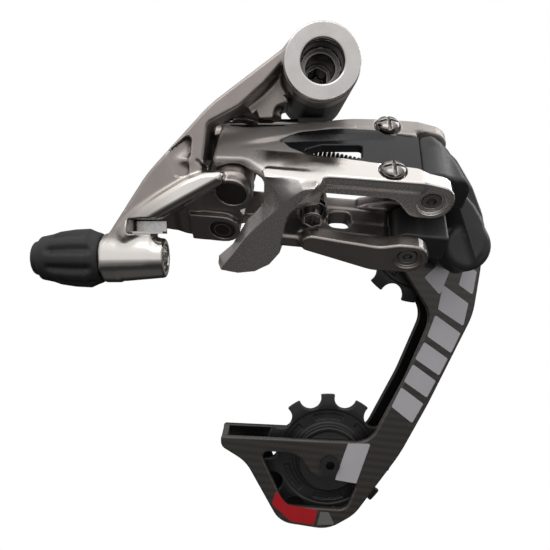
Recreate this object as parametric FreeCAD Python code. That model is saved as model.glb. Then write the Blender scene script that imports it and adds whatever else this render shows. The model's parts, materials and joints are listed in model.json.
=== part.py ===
import FreeCAD, Part
import math
import os

# Rear bicycle derailleur, drive side.  Millimetres.
# +Z up, +X towards the front of the bicycle, +Y inboard towards the wheel.
# The origin is on the mounting bolt's axis, at the face that meets the hanger.

Vector = FreeCAD.Vector

# ---------------------------------------------------------------- driving dimensions
# Mounting bolt and hub
HUB_RADIUS = 10.4
HUB_FRONT = -30.4
HUB_REAR = -5.3
BOLT_FACE = -32.0
FLANGE_RADIUS = 10.2
SLEEVE_RADIUS = 6.5
THREAD_RADIUS = 5.0
THREAD_LENGTH = 9.0
BUSH_WALL = 0.95
RUNNING = 0.05

# Parallelogram: four parallel pivots, square to the plane of the swing
PIN_RADIUS = 2.5
LINK_BUSH_RADIUS = 3.2
LINK_LENGTH = 53.85
LINK_OFFSET = (-3.5, 15.0)
PIVOT_A = Vector(-24.0, -28.0, -32.5)
PIVOT_AXIS = Vector(0.12, 0.68, 0.7233)
LINK_DIRECTION = Vector(0.9928, -0.079, -0.0904)
SWING = 57.0
SIDE_GAP = 0.3
OPEN_PIVOT_GAP = 0.15
A_LOW, A_HIGH = 6.0, 22.2
PIN_A_TOP = 25.6
B_LOW, B_HIGH = 5.2, 22.8
PIN_B_TOP = 27.6
C_BOTTOM, C_LOW, C_HIGH, C_TOP = -2.0, 3.0, 14.5, 18.5
D_BOTTOM, D_LOW, D_HIGH, D_TOP = -7.0, -2.0, 10.4, 14.8

# Cable stop and barrel adjuster
CABLE_Y = -30.0
CABLE_Z = -51.6
CABLE_TUBE_RADIUS = 6.6
CABLE_TUBE_LEFT = -58.4
CABLE_TUBE_RIGHT = -42.0
BARREL_LEFT = -77.0
BARREL_LOBES = 9
CORE_RADIUS = 3.0

# P-knuckle and cage
CAGE_X, CAGE_Z = 45.8, -48.8
KNUCKLE_RADIUS = 7.6
KNUCKLE_NOSE = 5.6
NOSE_LENGTH = 3.5
SPRING_WELL = 6.75
CAP_RADIUS = 4.4
KNUCKLE_FRONT = -17.0
KNUCKLE_REAR = 3.6
AXLE_RADIUS = 3.5
CAGE_BUSH_WALL = 0.75
CAGE_SPRING_RADIUS = 5.9
CAGE_SPRING_WIRE = 0.6
CAGE_SPRING_LENGTH = 12.0
CAGE_SPRING_TURNS = 8
PLATE_OUTER, PLATE_THICK = 4.5, 2.0
PLATE_INNER = 16.0
CAGE_MIDDLE = 11.25

# Jockey wheels
TEETH = 11
CHAIN_PITCH = 12.7
ROLLER_RADIUS = 3.95
TIP_RADIUS = 23.3
RIM_THICK = 2.4
UPPER_WHEEL = (40.0, -46.4)
LOWER_WHEEL = (7.4, -126.4)
BEARING_WIDTH = 5.0
WHEEL_BOLT_RADIUS = 2.4
INNER_RACE_RADIUS = 4.35
OUTER_RACE_RADIUS = 8.8
BALL_RADIUS = 1.38
BALL_COUNT = 9

# B screw, limit screws, cable anchor and return spring
B_SCREW_RADIUS = 1.5
B_SCREW_Y = -15.0
B_SCREW_Z = -12.6
B_SCREW_TIP_X = -5.45
B_SCREW_HEAD_X = -28.0
TONGUE_LEFT, TONGUE_RIGHT = -5.4, 3.2
TONGUE_BOTTOM, TONGUE_TOP = -13.7, -10.9
LUG_LEFT, LUG_RIGHT = -15.0, -10.4
SCREW_RADIUS = 1.5
SCREW_HEAD_RADIUS = 3.3
SCREW_SEAT = -6.4
SCREW_PLACES = ((41.4, 23.9), (42.2, 4.0))
ANCHOR = (22.5, 7.6)
ANCHOR_RADIUS = 3.6
SPRING_LEVEL = 17.6
SPRING_START = (10.6, -0.2)
SPRING_END = (41.5, 5.4)
SPRING_RADIUS = 2.5
SPRING_WIRE = 0.5
SPRING_TURNS = 20

# Outlines, as (x, y, corner radius).  The knuckles and the cage are drawn in (x, z);
# the ears, flanges and fin in the linkage's own plane; the link's face in (along, up the pins).
ARM_OUTLINE = [
    (-3.0, 8.0, 0), (-10.4, 3.9, 5), (-29.7, -11.2, 40), (-46.0, -29.3, 40), (-58.4, -49.0, 3),
    (-58.4, -53.0, 0), (-43.0, -53.0, 0), (-42.0, -45.0, 3), (-36.0, -36.5, 8), (-27.0, -31.5, 3),
    (-31.5, -27.5, 1), (-30.0, -16.5, 2), (-21.8, -12.7, 6), (-12.0, -4.0, 0),
]
BRIDGE_OUTLINE = [
    (-3.0, 7.5, 0), (-10.4, 3.9, 5), (-29.7, -11.2, 40), (-38.0, -20.4, 3), (-32.0, -24.0, 2),
    (-25.0, -17.5, 3), (-12.0, -14.0, 3), (-6.0, -7.0, 0),
]
LOWER_EAR = [
    (5.2, -5.2, 4.5), (-6.0, -5.2, 6), (-21.0, 6.5, 20), (-33.5, 18.5, 2), (-24.0, 19.0, 8),
    (-3.5, 20.6, 5), (2.0, 13.0, 2), (5.2, 4.0, 4),
]
UPPER_EAR = [(5.4, -5.4, 4.5), (-14.0, -8.0, 3), (-17.0, 20.0, 3), (1.8, 20.4, 5), (5.4, 4.0, 4)]
SIDE_WALL = [(-10.5, -9.0, 2), (-17.0, -7.0, 3), (-17.0, 20.0, 3), (-10.5, 20.0, 2)]
C_EAR = [(-13.0, 9.8, 0), (1.6, 9.8, 4.9), (1.6, 20.2, 4.9), (-13.0, 20.2, 0)]
FACE_OUT, FACE_IN = -7.4, -4.0
LINK_FACE = [
    (-5.8, 2.6, 1.5), (-6.0, 19.2, 2.0), (2.4, 18.8, 12), (16.3, 22.2, 30), (30.6, 26.4, 30),
    (42.0, 27.6, 20), (50.0, 27.6, 3), (50.0, 0.0, 0), (26.0, -0.4, 30), (18.0, -2.6, 6), (8.4, -1.0, 4),
    (3.1, 3.4, 4),
]
INSERT_FACE = [
    (11.8, 14.4, 1.0), (16.7, 17.8, 6), (26.0, 20.6, 30), (37.0, 21.5, 30), (48.6, 20.4, 1.5),
    (48.6, 5.2, 1.5), (37.6, 6.9, 30), (28.3, 7.7, 30), (19.4, 8.0, 4), (14.5, 10.4, 1.5),
]
WINDOW = [
    (20.2, 11.2, 0.8), (23.0, 13.3, 3), (34.2, 14.8, 1), (34.2, 10.6, 1.2), (25.6, 8.6, 3),
    (20.2, 9.6, 0.8),
]
UPPER_FLANGE = [
    (24.0, -7.4, 0), (50.0, -7.4, 4), (59.4, -5.4, 5), (59.4, 5.4, 5.2), (48.0, 5.4, 4), (42.0, -0.6, 8),
    (24.0, -1.5, 0),
]
UPPER_RIB = [
    (7.0, -7.4, 0), (32.0, -7.4, 0), (32.0, -1.5, 0), (12.0, -1.5, 2), (9.8, 1.2, 1.2), (7.0, 1.2, 1.2),
]
LOWER_FLANGE = [
    (19.0, -7.0, 3), (50.0, -7.2, 4), (59.4, -5.4, 5), (59.4, 5.4, 5.2), (49.0, 5.4, 4), (44.0, -0.6, 5),
    (24.0, -0.6, 1), (20.0, 0.5, 1),
]
FIN = [
    (19.0, -6.8, 2), (11.1, 3.4, 15), (2.4, 16.3, 30), (-5.3, 28.6, 1.5), (1.0, 30.0, 6), (9.5, 25.9, 6),
    (13.8, 19.0, 6), (14.6, 12.0, 8), (24.0, -0.6, 4),
]
INNER_WEB = [(-1.0, 12.6, 0), (44.6, 12.6, 0), (44.6, 17.4, 0), (-1.0, 17.4, 0)]
INNER_LOW_EAR = [
    (21.0, 11.0, 3), (32.0, 10.6, 20), (42.0, 11.4, 8), (47.0, 9.6, 4), (56.0, 9.4, 5.0),
    (56.0, 20.6, 5.0),
    (41.0, 21.4, 12), (28.6, 17.6, 12), (21.0, 16.6, 2),
]
INNER_HIGH_EAR = [
    (36.0, 12.6, 0), (44.0, 9.6, 3), (56.0, 9.6, 5.2), (56.0, 20.4, 5.2), (44.0, 20.4, 3),
    (36.0, 17.4, 0),
]
UPPER_SHELL = [
    (30.2, -17.4, 1.5), (33.1, -17.0, 2), (36.0, -18.9, 3), (39.9, -25.1, 8), (43.1, -32.6, 1),
    (38.6, -30.9, 2), (31.0, -26.8, 1),
]
LOWER_SHELL = [
    (40.5, -29.5, 2), (45.6, -31.5, 3), (50.6, -37.6, 8), (53.8, -46.9, 6), (51.5, -53.4, 6),
    (44.0, -57.8, 5), (38.3, -53.0, 3), (40.3, -46.5, 1), (40.3, -35.5, 1),
]
BACK_LAYER = [
    (35.0, -15.4, 1.5), (40.5, -16.2, 3), (46.0, -21.3, 8), (51.3, -30.1, 12), (55.3, -41.0, 6),
    (55.0, -48.0, 4), (44.0, -50.0, 2), (42.0, -36.0, 2), (38.0, -26.0, 3),
]
CAGE_OUTLINE = [
    (60.2, -45.0, 11), (59.0, -58.0, 30), (57.0, -73.0, 25), (41.9, -105.1, 60), (32.4, -123.2, 60),
    (16.5, -145.5, 14), (7.0, -151.0, 12), (-10.5, -148.0, 9), (-22.5, -125.5, 14), (-31.2, -119.8, 3),
    (-31.2, -116.0, 1), (21.5, -118.8, 8), (33.6, -95.3, 60), (42.5, -73.5, 9), (31.0, -56.0, 10),
    (31.5, -36.5, 9), (48.0, -34.0, 12), (60.0, -34.5, 10),
]
CAGE_WINDOW = [
    (-17.5, -121.6, 2), (-4.0, -122.6, 8), (1.5, -131.0, 5), (17.5, -133.0, 2), (13.5, -143.5, 4),
    (-8.5, -141.8, 5),
]
INNER_WINDOW = [
    (-15.5, -122.0, 2), (-4.0, -122.6, 6), (0.0, -132.0, 5), (14.5, -134.5, 2), (11.5, -142.5, 4),
    (-7.0, -141.0, 5),
]
INNER_SLOT = [
    (52.0, -62.0, 2), (50.5, -76.0, 10), (43.5, -91.0, 1.2), (45.0, -76.0, 10), (46.0, -62.0, 2),
]

SPRING_ARM = [(57.0, 2.0, 2), (47.0, 3.0, 2), (42.6, 4.8, 2), (42.8, 9.0, 2), (56.0, 8.0, 2)]

PARTS_FOLDER = "parts"
X_AXIS, Y_AXIS, Z_AXIS = Vector(1, 0, 0), Vector(0, 1, 0), Vector(0, 0, 1)


# ---------------------------------------------------------------- general helpers
def linkage_frame():
    """Placement of the linkage's own axes: x along the links, z along the pins."""
    z = Vector(PIVOT_AXIS)
    z.normalize()
    x = LINK_DIRECTION - z * LINK_DIRECTION.dot(z)
    x.normalize()
    y = z.cross(x)
    rotation = FreeCAD.Rotation(x, y, z, "ZXY")
    return FreeCAD.Placement(PIVOT_A, rotation)


LINKAGE = linkage_frame()


def in_linkage(shape):
    """Move a shape drawn in the linkage's axes to its place in the part."""
    placed = shape.copy()
    placed.Placement = LINKAGE.multiply(placed.Placement)
    return placed


def rod(radius, start, length, axis=Z_AXIS):
    return Part.makeCylinder(radius, length, Vector(*start), axis)


def ring(outer, inner, start, length, axis=Z_AXIS):
    return rod(outer, start, length, axis).cut(rod(inner, start, length, axis))


def corner_arc(before, corner, after, radius):
    """Tangent points and middle of the arc that rounds one corner of an outline."""
    to_before = (before - corner).normalize()
    to_after = (after - corner).normalize()
    half = to_before.getAngle(to_after) / 2.0
    reach = radius / math.tan(half)
    bisector = (to_before + to_after).normalize()
    centre = corner + bisector * (radius / math.sin(half))
    return corner + to_before * reach, centre - bisector * radius, corner + to_after * reach


def outline(corners):
    """Closed face in the XY plane from (x, y, radius) corners; radius 0 is sharp."""
    points = [Vector(x, y, 0) for x, y, _ in corners]
    edges = []
    ends = []
    for i, (_, _, radius) in enumerate(corners):
        if radius == 0:
            ends.append((points[i], None, points[i]))
        else:
            ends.append(corner_arc(points[i - 1], points[i], points[(i + 1) % len(points)], radius))
    for i, (first, middle, last) in enumerate(ends):
        if middle is not None:
            edges.append(Part.Arc(first, middle, last).toShape())
        following = ends[(i + 1) % len(ends)][0]
        if last.distanceToPoint(following) > 1e-6:
            edges.append(Part.makeLine(last, following))
    return Part.Face(Part.Wire(edges))


def slab(corners, start, thickness):
    """Prism on an XY outline, from z = start upwards."""
    shape = outline(corners).extrude(Vector(0, 0, thickness))
    if shape.Volume < 0:
        shape.reverse()
    shape.translate(Vector(0, 0, start))
    return shape


def upright_slab(corners, start, thickness):
    """Prism on an (x, z) outline, from y = start towards +Y."""
    shape = slab(corners, 0, thickness)
    shape.rotate(Vector(0, 0, 0), X_AXIS, 90)
    shape.translate(Vector(0, start + thickness, 0))
    return shape


def fuse(*shapes):
    return shapes[0].multiFuse(list(shapes[1:])).removeSplitter()


def hexagon(across_flats, start, length, axis=Z_AXIS):
    """Hexagonal prism with its first corner square to the axis."""
    radius = across_flats / math.sqrt(3)
    side = Vector(1, 0, 0) if abs(axis.x) < 0.9 else Vector(0, 0, 1)
    side = (side - axis * side.dot(axis)).normalize()
    up = axis.cross(side)
    base = Vector(*start)
    turn = [math.radians(60 * i) for i in range(7)]
    points = [base + side * (radius * math.cos(t)) + up * (radius * math.sin(t)) for t in turn]
    return Part.Face(Part.makePolygon(points)).extrude(axis * length)


def coil(radius, wire, pitch, height):
    """Round-wire helical spring standing on the XY plane."""
    helix = Part.makeHelix(pitch, height, radius)
    section = Part.Wire(Part.makeCircle(wire, Vector(radius, 0, 0), Y_AXIS))
    return Part.Wire(helix).makePipeShell([section], True, True)


def spun(shape, angle):
    """Copy of a linkage shape turned about pivot A."""
    turned = shape.copy()
    turned.rotate(Vector(0, 0, 0), Z_AXIS, angle)
    return turned


# ---------------------------------------------------------------- mounting bolt
def mounting_bolt():
    """Hollow axle bolt: polished flange, stepped bore, hexagon and threaded end."""
    flange = rod(FLANGE_RADIUS, (0, BOLT_FACE, 0), HUB_FRONT - BOLT_FACE, Y_AXIS)
    sleeve = rod(SLEEVE_RADIUS, (0, HUB_FRONT, 0), -0.2 - HUB_FRONT, Y_AXIS)
    thread = rod(THREAD_RADIUS, (0, -0.2, 0), THREAD_LENGTH + 0.2, Y_AXIS)
    body = fuse(flange, sleeve, thread)
    bores = [
        rod(5.7, (0, BOLT_FACE, 0), 6.5, Y_AXIS),
        rod(4.0, (0, BOLT_FACE, 0), 15.0, Y_AXIS),
        hexagon(5.0, (0, BOLT_FACE + 14, 0), 8.0, Y_AXIS),
        rod(2.3, (0, BOLT_FACE, 0), 60.0, Y_AXIS),
        ring(7.5, 5.9, (0, -1.8, 0), 1.0, Y_AXIS),
    ]
    return body.cut(fuse(*bores))


def bolt_retaining_clip():
    """Split ring in the groove at the sleeve's inner end."""
    clip = ring(7.4, 5.95, (0, -1.75, 0), 0.9, Y_AXIS)
    gap = Part.makeBox(4.0, 2.0, 9.0, Vector(-2.0, -2.2, 0))
    return clip.cut(gap)


def hanger_stop_plate():
    """Disc keyed to the hanger, with the tongue that the B screw bears on."""
    disc = rod(HUB_RADIUS, (0, -5, 0), 5, Y_AXIS)
    width = TONGUE_RIGHT - TONGUE_LEFT
    root = Part.makeBox(width, 5.0, -8.0 - TONGUE_BOTTOM, Vector(TONGUE_LEFT, -5.0, TONGUE_BOTTOM))
    height = TONGUE_TOP - TONGUE_BOTTOM
    tongue = Part.makeBox(width, 12.0, height, Vector(TONGUE_LEFT, -16.0, TONGUE_BOTTOM))
    bore = rod(SLEEVE_RADIUS + 0.1, (0, -6, 0), 7, Y_AXIS)
    seat = rod(7.7, (0, -2, 0), 3, Y_AXIS)
    return fuse(disc, root, tongue).cut(fuse(bore, seat))


def hub_bush(start):
    return ring(SLEEVE_RADIUS + RUNNING + BUSH_WALL, SLEEVE_RADIUS + RUNNING, (0, start, 0), 6.0, Y_AXIS)


def lower_sector(outer, inner):
    """Part of a ring under the hub, where the black cover sits."""
    sleeve = ring(outer, inner, (0, -25.0, 0), 19.0, Y_AXIS)
    sector = [(0, 0, 0), (-14.0, -9.0, 0), (-6.0, -14.0, 0), (6.0, -14.0, 0), (14.0, -9.0, 0)]
    wedge = upright_slab(sector, -26.0, 22.0)
    return sleeve.common(wedge)


# ---------------------------------------------------------------- B-knuckle
def swept_links():
    """Space that the two links sweep beside the B-knuckle, with clearance."""
    ax, ay = LINK_OFFSET
    front = fuse(
        Part.makeBox(66.0, 5.6, A_HIGH + 2.0, Vector(-6.6, -8.6, -0.6)),
        Part.makeBox(57.0, 12.0, 30.0, Vector(8.0, -8.6, -10.0)),
    )
    front = front.cut(rod(5.6, (0, 0, -11), 11.0 + A_LOW - 0.01)).cut(rod(7.0, (0, 0, A_HIGH), 9.0))
    outer = [rod(5.6, (0, 0, A_LOW), A_HIGH - A_LOW)]
    outer += [spun(front, angle) for angle in (0, 14, 29, 43, SWING)]
    web = Part.makeBox(60.0, 6.4, C_HIGH - C_LOW, Vector(4.2, -3.2, C_LOW))
    low_web = Part.makeBox(54.0, 6.4, 8.0, Vector(8.0, -3.2, -7.0))
    inner = [rod(5.7, (ax, ay, C_LOW), C_HIGH - C_LOW)]
    for angle in (0, 14, 29, 43, SWING):
        turned = spun(fuse(web, low_web), angle)
        turned.translate(Vector(ax, ay, 0))
        inner.append(turned)
    return fuse(*(outer + inner))


def b_knuckle():
    """Hub, arm, cable-stop tube and the ears that hold pins A and C: one casting."""
    ax, ay = LINK_OFFSET
    hub = rod(HUB_RADIUS, (0, HUB_FRONT, 0), HUB_REAR - HUB_FRONT, Y_AXIS)
    arm = upright_slab(ARM_OUTLINE, -34.0, 10.0)
    bridge = upright_slab(BRIDGE_OUTLINE, -31.0, 21.0)
    ears = in_linkage(fuse(
        slab(LOWER_EAR, 0.0, A_LOW),
        slab(UPPER_EAR, A_HIGH, PIN_A_TOP - A_HIGH),
        slab(SIDE_WALL, 0.0, PIN_A_TOP),
        slab(C_EAR, C_BOTTOM, C_LOW - C_BOTTOM),
        slab(C_EAR, C_HIGH, C_TOP - C_HIGH),
    ))
    outside = upright_slab(
        [(-4.0, 10.0, 0), (-10.6, 4.2, 0), (-29.9, -11.2, 0), (-46.3, -29.3, 0), (-60.0, -50.0, 0),
         (-60.0, -62.0, 0), (12.0, -62.0, 0), (12.0, 10.0, 0)], -36.0, 45.0)
    lug = Part.makeBox(LUG_RIGHT - LUG_LEFT, 7.0, 9.5, Vector(LUG_LEFT, -18.0, -15.3))
    tube_length = CABLE_TUBE_RIGHT - CABLE_TUBE_LEFT
    tube = rod(CABLE_TUBE_RADIUS, (CABLE_TUBE_LEFT, CABLE_Y, CABLE_Z), tube_length, X_AXIS)
    body = fuse(hub, arm, bridge, ears.common(outside), lug, tube)
    bush_seat = SLEEVE_RADIUS + RUNNING + BUSH_WALL
    cuts = [
        in_linkage(swept_links()),
        in_linkage(rod(PIN_RADIUS, (0, 0, -2), 30)),
        in_linkage(rod(PIN_RADIUS, (ax, ay, -4), 25)),
        rod(bush_seat - 0.4, (0, -32, 0), 28, Y_AXIS),
        rod(bush_seat, (0, -30.4, 0), 6.0, Y_AXIS),
        rod(bush_seat, (0, -11.3, 0), 6.5, Y_AXIS),
        lower_sector(HUB_RADIUS + 0.5, HUB_RADIUS - 0.95),
        rod(HUB_RADIUS + 0.4, (0, -36.0, 0), 36.0 + HUB_FRONT, Y_AXIS),
        rod(B_SCREW_RADIUS + RUNNING, (-34, B_SCREW_Y, B_SCREW_Z), 36, X_AXIS),
        rod(3.3, (-34, B_SCREW_Y, B_SCREW_Z), 34 + B_SCREW_HEAD_X + 3.2, X_AXIS),
        rod(CORE_RADIUS + RUNNING, (-60, CABLE_Y, CABLE_Z), 12.5, X_AXIS),
        rod(1.4, (-60, CABLE_Y, CABLE_Z), 20, X_AXIS),
        rod(4.3, (-44.2, CABLE_Y, CABLE_Z), 4, X_AXIS),
        Part.makeBox(14.0, 10.0, 4.2, Vector(-50.6, CABLE_Y - 7.3, CABLE_Z + CABLE_TUBE_RADIUS)),
    ]
    return body.cut(fuse(*cuts))


def b_adjust_screw():
    """Set screw that holds the knuckle off the stop plate's tongue."""
    start = (B_SCREW_HEAD_X, B_SCREW_Y, B_SCREW_Z)
    shank = rod(B_SCREW_RADIUS, start, B_SCREW_TIP_X - B_SCREW_HEAD_X, X_AXIS)
    head = rod(2.7, start, 2.6, X_AXIS)
    socket = hexagon(2.5, start, 1.8, X_AXIS)
    return fuse(shank, head).cut(socket)


def plain_pin(place, bottom, top):
    """Link pin with a shallow dimple in its lower end."""
    x, y = place
    body = rod(PIN_RADIUS, (x, y, bottom), top - bottom)
    dimple = rod(1.3, (x, y, bottom), 0.6)
    return in_linkage(body.cut(dimple))


def bush_pair(place, low, high, inner):
    """Two flanged bushes pressed into the two ends of one boss."""
    x, y = place
    length = 4.5
    lower = ring(LINK_BUSH_RADIUS, inner, (x, y, low + SIDE_GAP), length)
    upper = ring(LINK_BUSH_RADIUS, inner, (x, y, high - SIDE_GAP - length), length)
    return in_linkage(Part.makeCompound([lower, upper]))


# ---------------------------------------------------------------- cable stop
def cable_guide_plate():
    """Small spring-steel angle that lies on the cable-stop tube, in the arm's notch."""
    top = CABLE_Z + CABLE_TUBE_RADIUS
    flange = Part.makeBox(8.0, 5.2, 0.6, Vector(-50.2, CABLE_Y - 3.3, top))
    upright = Part.makeBox(8.0, 0.7, 3.4, Vector(-50.2, CABLE_Y + 1.9, top))
    return fuse(flange, upright)


def barrel_profile():
    """Half section of the barrel adjuster, from its ferrule end to the tube."""
    left = BARREL_LEFT
    points = [(left, 3.4), (left, 4.5), (left + 2.0, 4.8), (left + 2.0, 5.9), (left + 5.0, 6.5),
              (left + 7.0, 7.2), (left + 15.0, 8.0), (-60.4, 7.0), (-58.8, 6.4), (-58.8, 3.4)]
    return points


def barrel_adjuster():
    """Moulded grip with rounded lobes round its waist."""
    points = [Vector(x, 0, r) for x, r in barrel_profile()]
    face = Part.Face(Part.makePolygon(points + [points[0]]))
    body = face.revolve(Vector(0, 0, 0), X_AXIS, 360)
    grooves = []
    for i in range(BARREL_LOBES):
        angle = 2 * math.pi * i / BARREL_LOBES
        y, z = 9.3 * math.cos(angle), 9.3 * math.sin(angle)
        grooves.append(rod(2.1, (BARREL_LEFT + 5.0, y, z), 12.5, X_AXIS))
    body = body.cut(fuse(*grooves))
    body.translate(Vector(0, CABLE_Y, CABLE_Z))
    return body


def barrel_core():
    """Threaded insert: carries the housing end and screws into the tube."""
    start = BARREL_LEFT + 2.0
    insert = rod(3.4, (start, CABLE_Y, CABLE_Z), -58.8 - start, X_AXIS)
    stub = rod(CORE_RADIUS, (-58.8, CABLE_Y, CABLE_Z), 9.0, X_AXIS)
    bore = rod(2.05, (start, CABLE_Y, CABLE_Z), 12.0, X_AXIS)
    passage = rod(1.0, (start, CABLE_Y, CABLE_Z), 40.0, X_AXIS)
    return fuse(insert, stub).cut(fuse(bore, passage))


def barrel_end_ring():
    """Metal ring at the mouth, where the cable housing enters."""
    return ring(3.4, 2.05, (BARREL_LEFT, CABLE_Y, CABLE_Z), 2.0, X_AXIS)


# ---------------------------------------------------------------- outer link
def outer_link():
    """Polished front link: face plate with the long opening, flanges, fin and ears."""
    bx = LINK_LENGTH
    boss = rod(4.9, (0, 0, A_LOW + SIDE_GAP), A_HIGH - A_LOW - 2 * SIDE_GAP)
    neck = Part.makeBox(4.4, 5.6, A_HIGH - A_LOW - 7.0, Vector(-2.2, -5.6, A_LOW + SIDE_GAP))
    face = upright_slab(LINK_FACE, FACE_OUT, FACE_IN - FACE_OUT)
    upper = slab(UPPER_FLANGE, B_HIGH, PIN_B_TOP - B_HIGH).fuse(slab(UPPER_RIB, 20.7, 2.5))
    lower = slab(LOWER_FLANGE, 0.0, B_LOW - SIDE_GAP)
    fin = slab(FIN, -5.8, 2.8)
    root = slab([(19.4, -6.4, 2), (13.0, 1.0, 2), (18.0, 3.0, 2), (25.0, -1.0, 2)], -3.5, 5.0)
    spring_lug = Part.makeBox(2.3, 6.2, 3.6, Vector(7.2, -5.0, 16.4))
    screw_boss = rod(2.2, (SCREW_PLACES[1][0], FACE_IN, SCREW_PLACES[1][1]), 3.6, Y_AXIS)
    body = fuse(boss, neck, face, upper, lower, fin, root, spring_lug, screw_boss)
    above_top_edge = upright_slab(
        [(-12.0, 19.25, 0), (-4.0, 19.25, 0), (2.4, 18.9, 12), (16.3, 22.3, 30), (30.6, 26.5, 30),
         (42.0, 27.7, 0), (64.0, 27.7, 0), (64.0, 40.0, 0), (-12.0, 40.0, 0)], -12, 20.0)
    body = body.cut(above_top_edge)
    cuts = [
        upright_slab(INSERT_FACE, FACE_OUT - 1, 8.0),
        rod(LINK_BUSH_RADIUS, (0, 0, 5), 20),
        rod(PIN_RADIUS, (bx, 0, -2), 32),
        rod(3.8, (bx, 0, -0.01), 1.2),
        rod(5.8, (0, 0, -5), 5.15 + A_LOW),
        rod(6.6, (bx, 0, B_LOW - SIDE_GAP), B_HIGH - B_LOW + 2 * SIDE_GAP),
    ]
    for u, v in SCREW_PLACES:
        cuts.append(rod(SCREW_RADIUS + RUNNING, (u, -12, v), 24, Y_AXIS))
        cuts.append(rod(SCREW_HEAD_RADIUS + 0.25, (u, -12, v), 12 + SCREW_SEAT, Y_AXIS))
    return in_linkage(body.cut(fuse(*cuts)))


def limit_screw(place):
    """Cross-slot cap screw whose tip sets one end of the swing."""
    u, v = place
    head = rod(SCREW_HEAD_RADIUS, (u, SCREW_SEAT - 2.9, v), 2.9, Y_AXIS)
    shank = rod(SCREW_RADIUS, (u, SCREW_SEAT, v), 7.6, Y_AXIS)
    slot = Part.makeBox(7.0, 1.2, 0.9, Vector(u - 3.5, SCREW_SEAT - 2.9, v - 0.45))
    cross = Part.makeBox(0.9, 1.2, 7.0, Vector(u - 0.45, SCREW_SEAT - 2.9, v - 3.5))
    return in_linkage(fuse(head, shank).cut(fuse(slot, cross)))


def link_insert():
    """Black moulded insert that fills the opening, with the long see-through window."""
    plate = upright_slab(INSERT_FACE, FACE_OUT + 0.4, 3.4)
    window = upright_slab(WINDOW, FACE_OUT - 1, 8.0)
    body = plate.cut(window)
    for u, v in SCREW_PLACES:
        body = body.cut(rod(SCREW_HEAD_RADIUS + 0.25, (u, -12, v), 16, Y_AXIS))
    body = body.cut(rod(6.6, (LINK_LENGTH, 0, -2), 32))
    return in_linkage(body)


# ---------------------------------------------------------------- inner link
def inner_link():
    """Forged rear link: rear boss, web, forked front end and the cable anchor lug."""
    ax, ay = LINK_OFFSET
    dx, dy = ax + LINK_LENGTH, ay
    boss = rod(5.0, (ax, ay, C_LOW + SIDE_GAP), C_HIGH - C_LOW - 2 * SIDE_GAP)
    web = slab(INNER_WEB, C_LOW + SIDE_GAP, D_HIGH - C_LOW)
    low_web = Part.makeBox(36.0, 4.8, 12.0, Vector(8.6, 12.6, -2.4))
    low_ear = slab(INNER_LOW_EAR, D_BOTTOM, D_LOW - D_BOTTOM - SIDE_GAP)
    high_ear = slab(INNER_HIGH_EAR, D_HIGH, D_TOP - D_HIGH)
    reach = Part.makeBox(2 * ANCHOR_RADIUS, 6.0, 4.5, Vector(ANCHOR[0] - ANCHOR_RADIUS, ANCHOR[1], 3.5))
    lug = rod(ANCHOR_RADIUS, (*ANCHOR, 3.5), 4.5).fuse(reach)
    body = fuse(boss, web, low_web, low_ear, high_ear, lug)
    body = body.cut(fuse(
        rod(LINK_BUSH_RADIUS, (ax, ay, 0), 20),
        rod(PIN_RADIUS, (dx, dy, -10), 30),
        rod(3.6, (dx, dy, D_BOTTOM - 0.01), 1.2),
        rod(5.2, (dx, dy, D_LOW - SIDE_GAP), D_HIGH - D_LOW + SIDE_GAP),
        rod(2.5, (*ANCHOR, 0), 12),
    ))
    return in_linkage(body)


def cable_anchor_bolt():
    """Cone-headed socket screw that clamps the cable."""
    head = Part.makeCone(2.6, ANCHOR_RADIUS, 3.6, Vector(*ANCHOR, -2.4), Z_AXIS)
    shank = rod(2.5, (*ANCHOR, 1.2), 8.4)
    socket = hexagon(4.0, (*ANCHOR, -2.4), 2.6)
    return in_linkage(fuse(head, shank).cut(socket))


def cable_anchor_washer():
    """Grooved clamp washer under the anchor bolt's head."""
    plate = ring(ANCHOR_RADIUS, 2.5, (*ANCHOR, 1.2), 1.9)
    groove = rod(0.3, (ANCHOR[0] - 6, ANCHOR[1] + 3.05, 3.1), 12, X_AXIS)
    return in_linkage(plate.cut(groove))


# ---------------------------------------------------------------- return spring
def return_spring():
    """Extension coil that pulls the linkage outboard."""
    reach = math.hypot(SPRING_END[0] - SPRING_START[0], SPRING_END[1] - SPRING_START[1])
    body = coil(SPRING_RADIUS, SPRING_WIRE, reach / SPRING_TURNS, reach)
    if body.ShapeType != "Solid":
        body = Part.Solid(Part.Shell(body.Faces))
    body.rotate(Vector(0, 0, 0), Y_AXIS, 90)
    turn = math.degrees(math.atan2(SPRING_END[1] - SPRING_START[1], SPRING_END[0] - SPRING_START[0]))
    body.rotate(Vector(0, 0, 0), Z_AXIS, turn)
    body.translate(Vector(*SPRING_START, SPRING_LEVEL))
    return in_linkage(body)


def spring_post():
    """Steel post in the P-knuckle's arm, at the spring's front end."""
    return in_linkage(rod(1.2, (44.6, 7.2, 16.3), 5.2))


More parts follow.
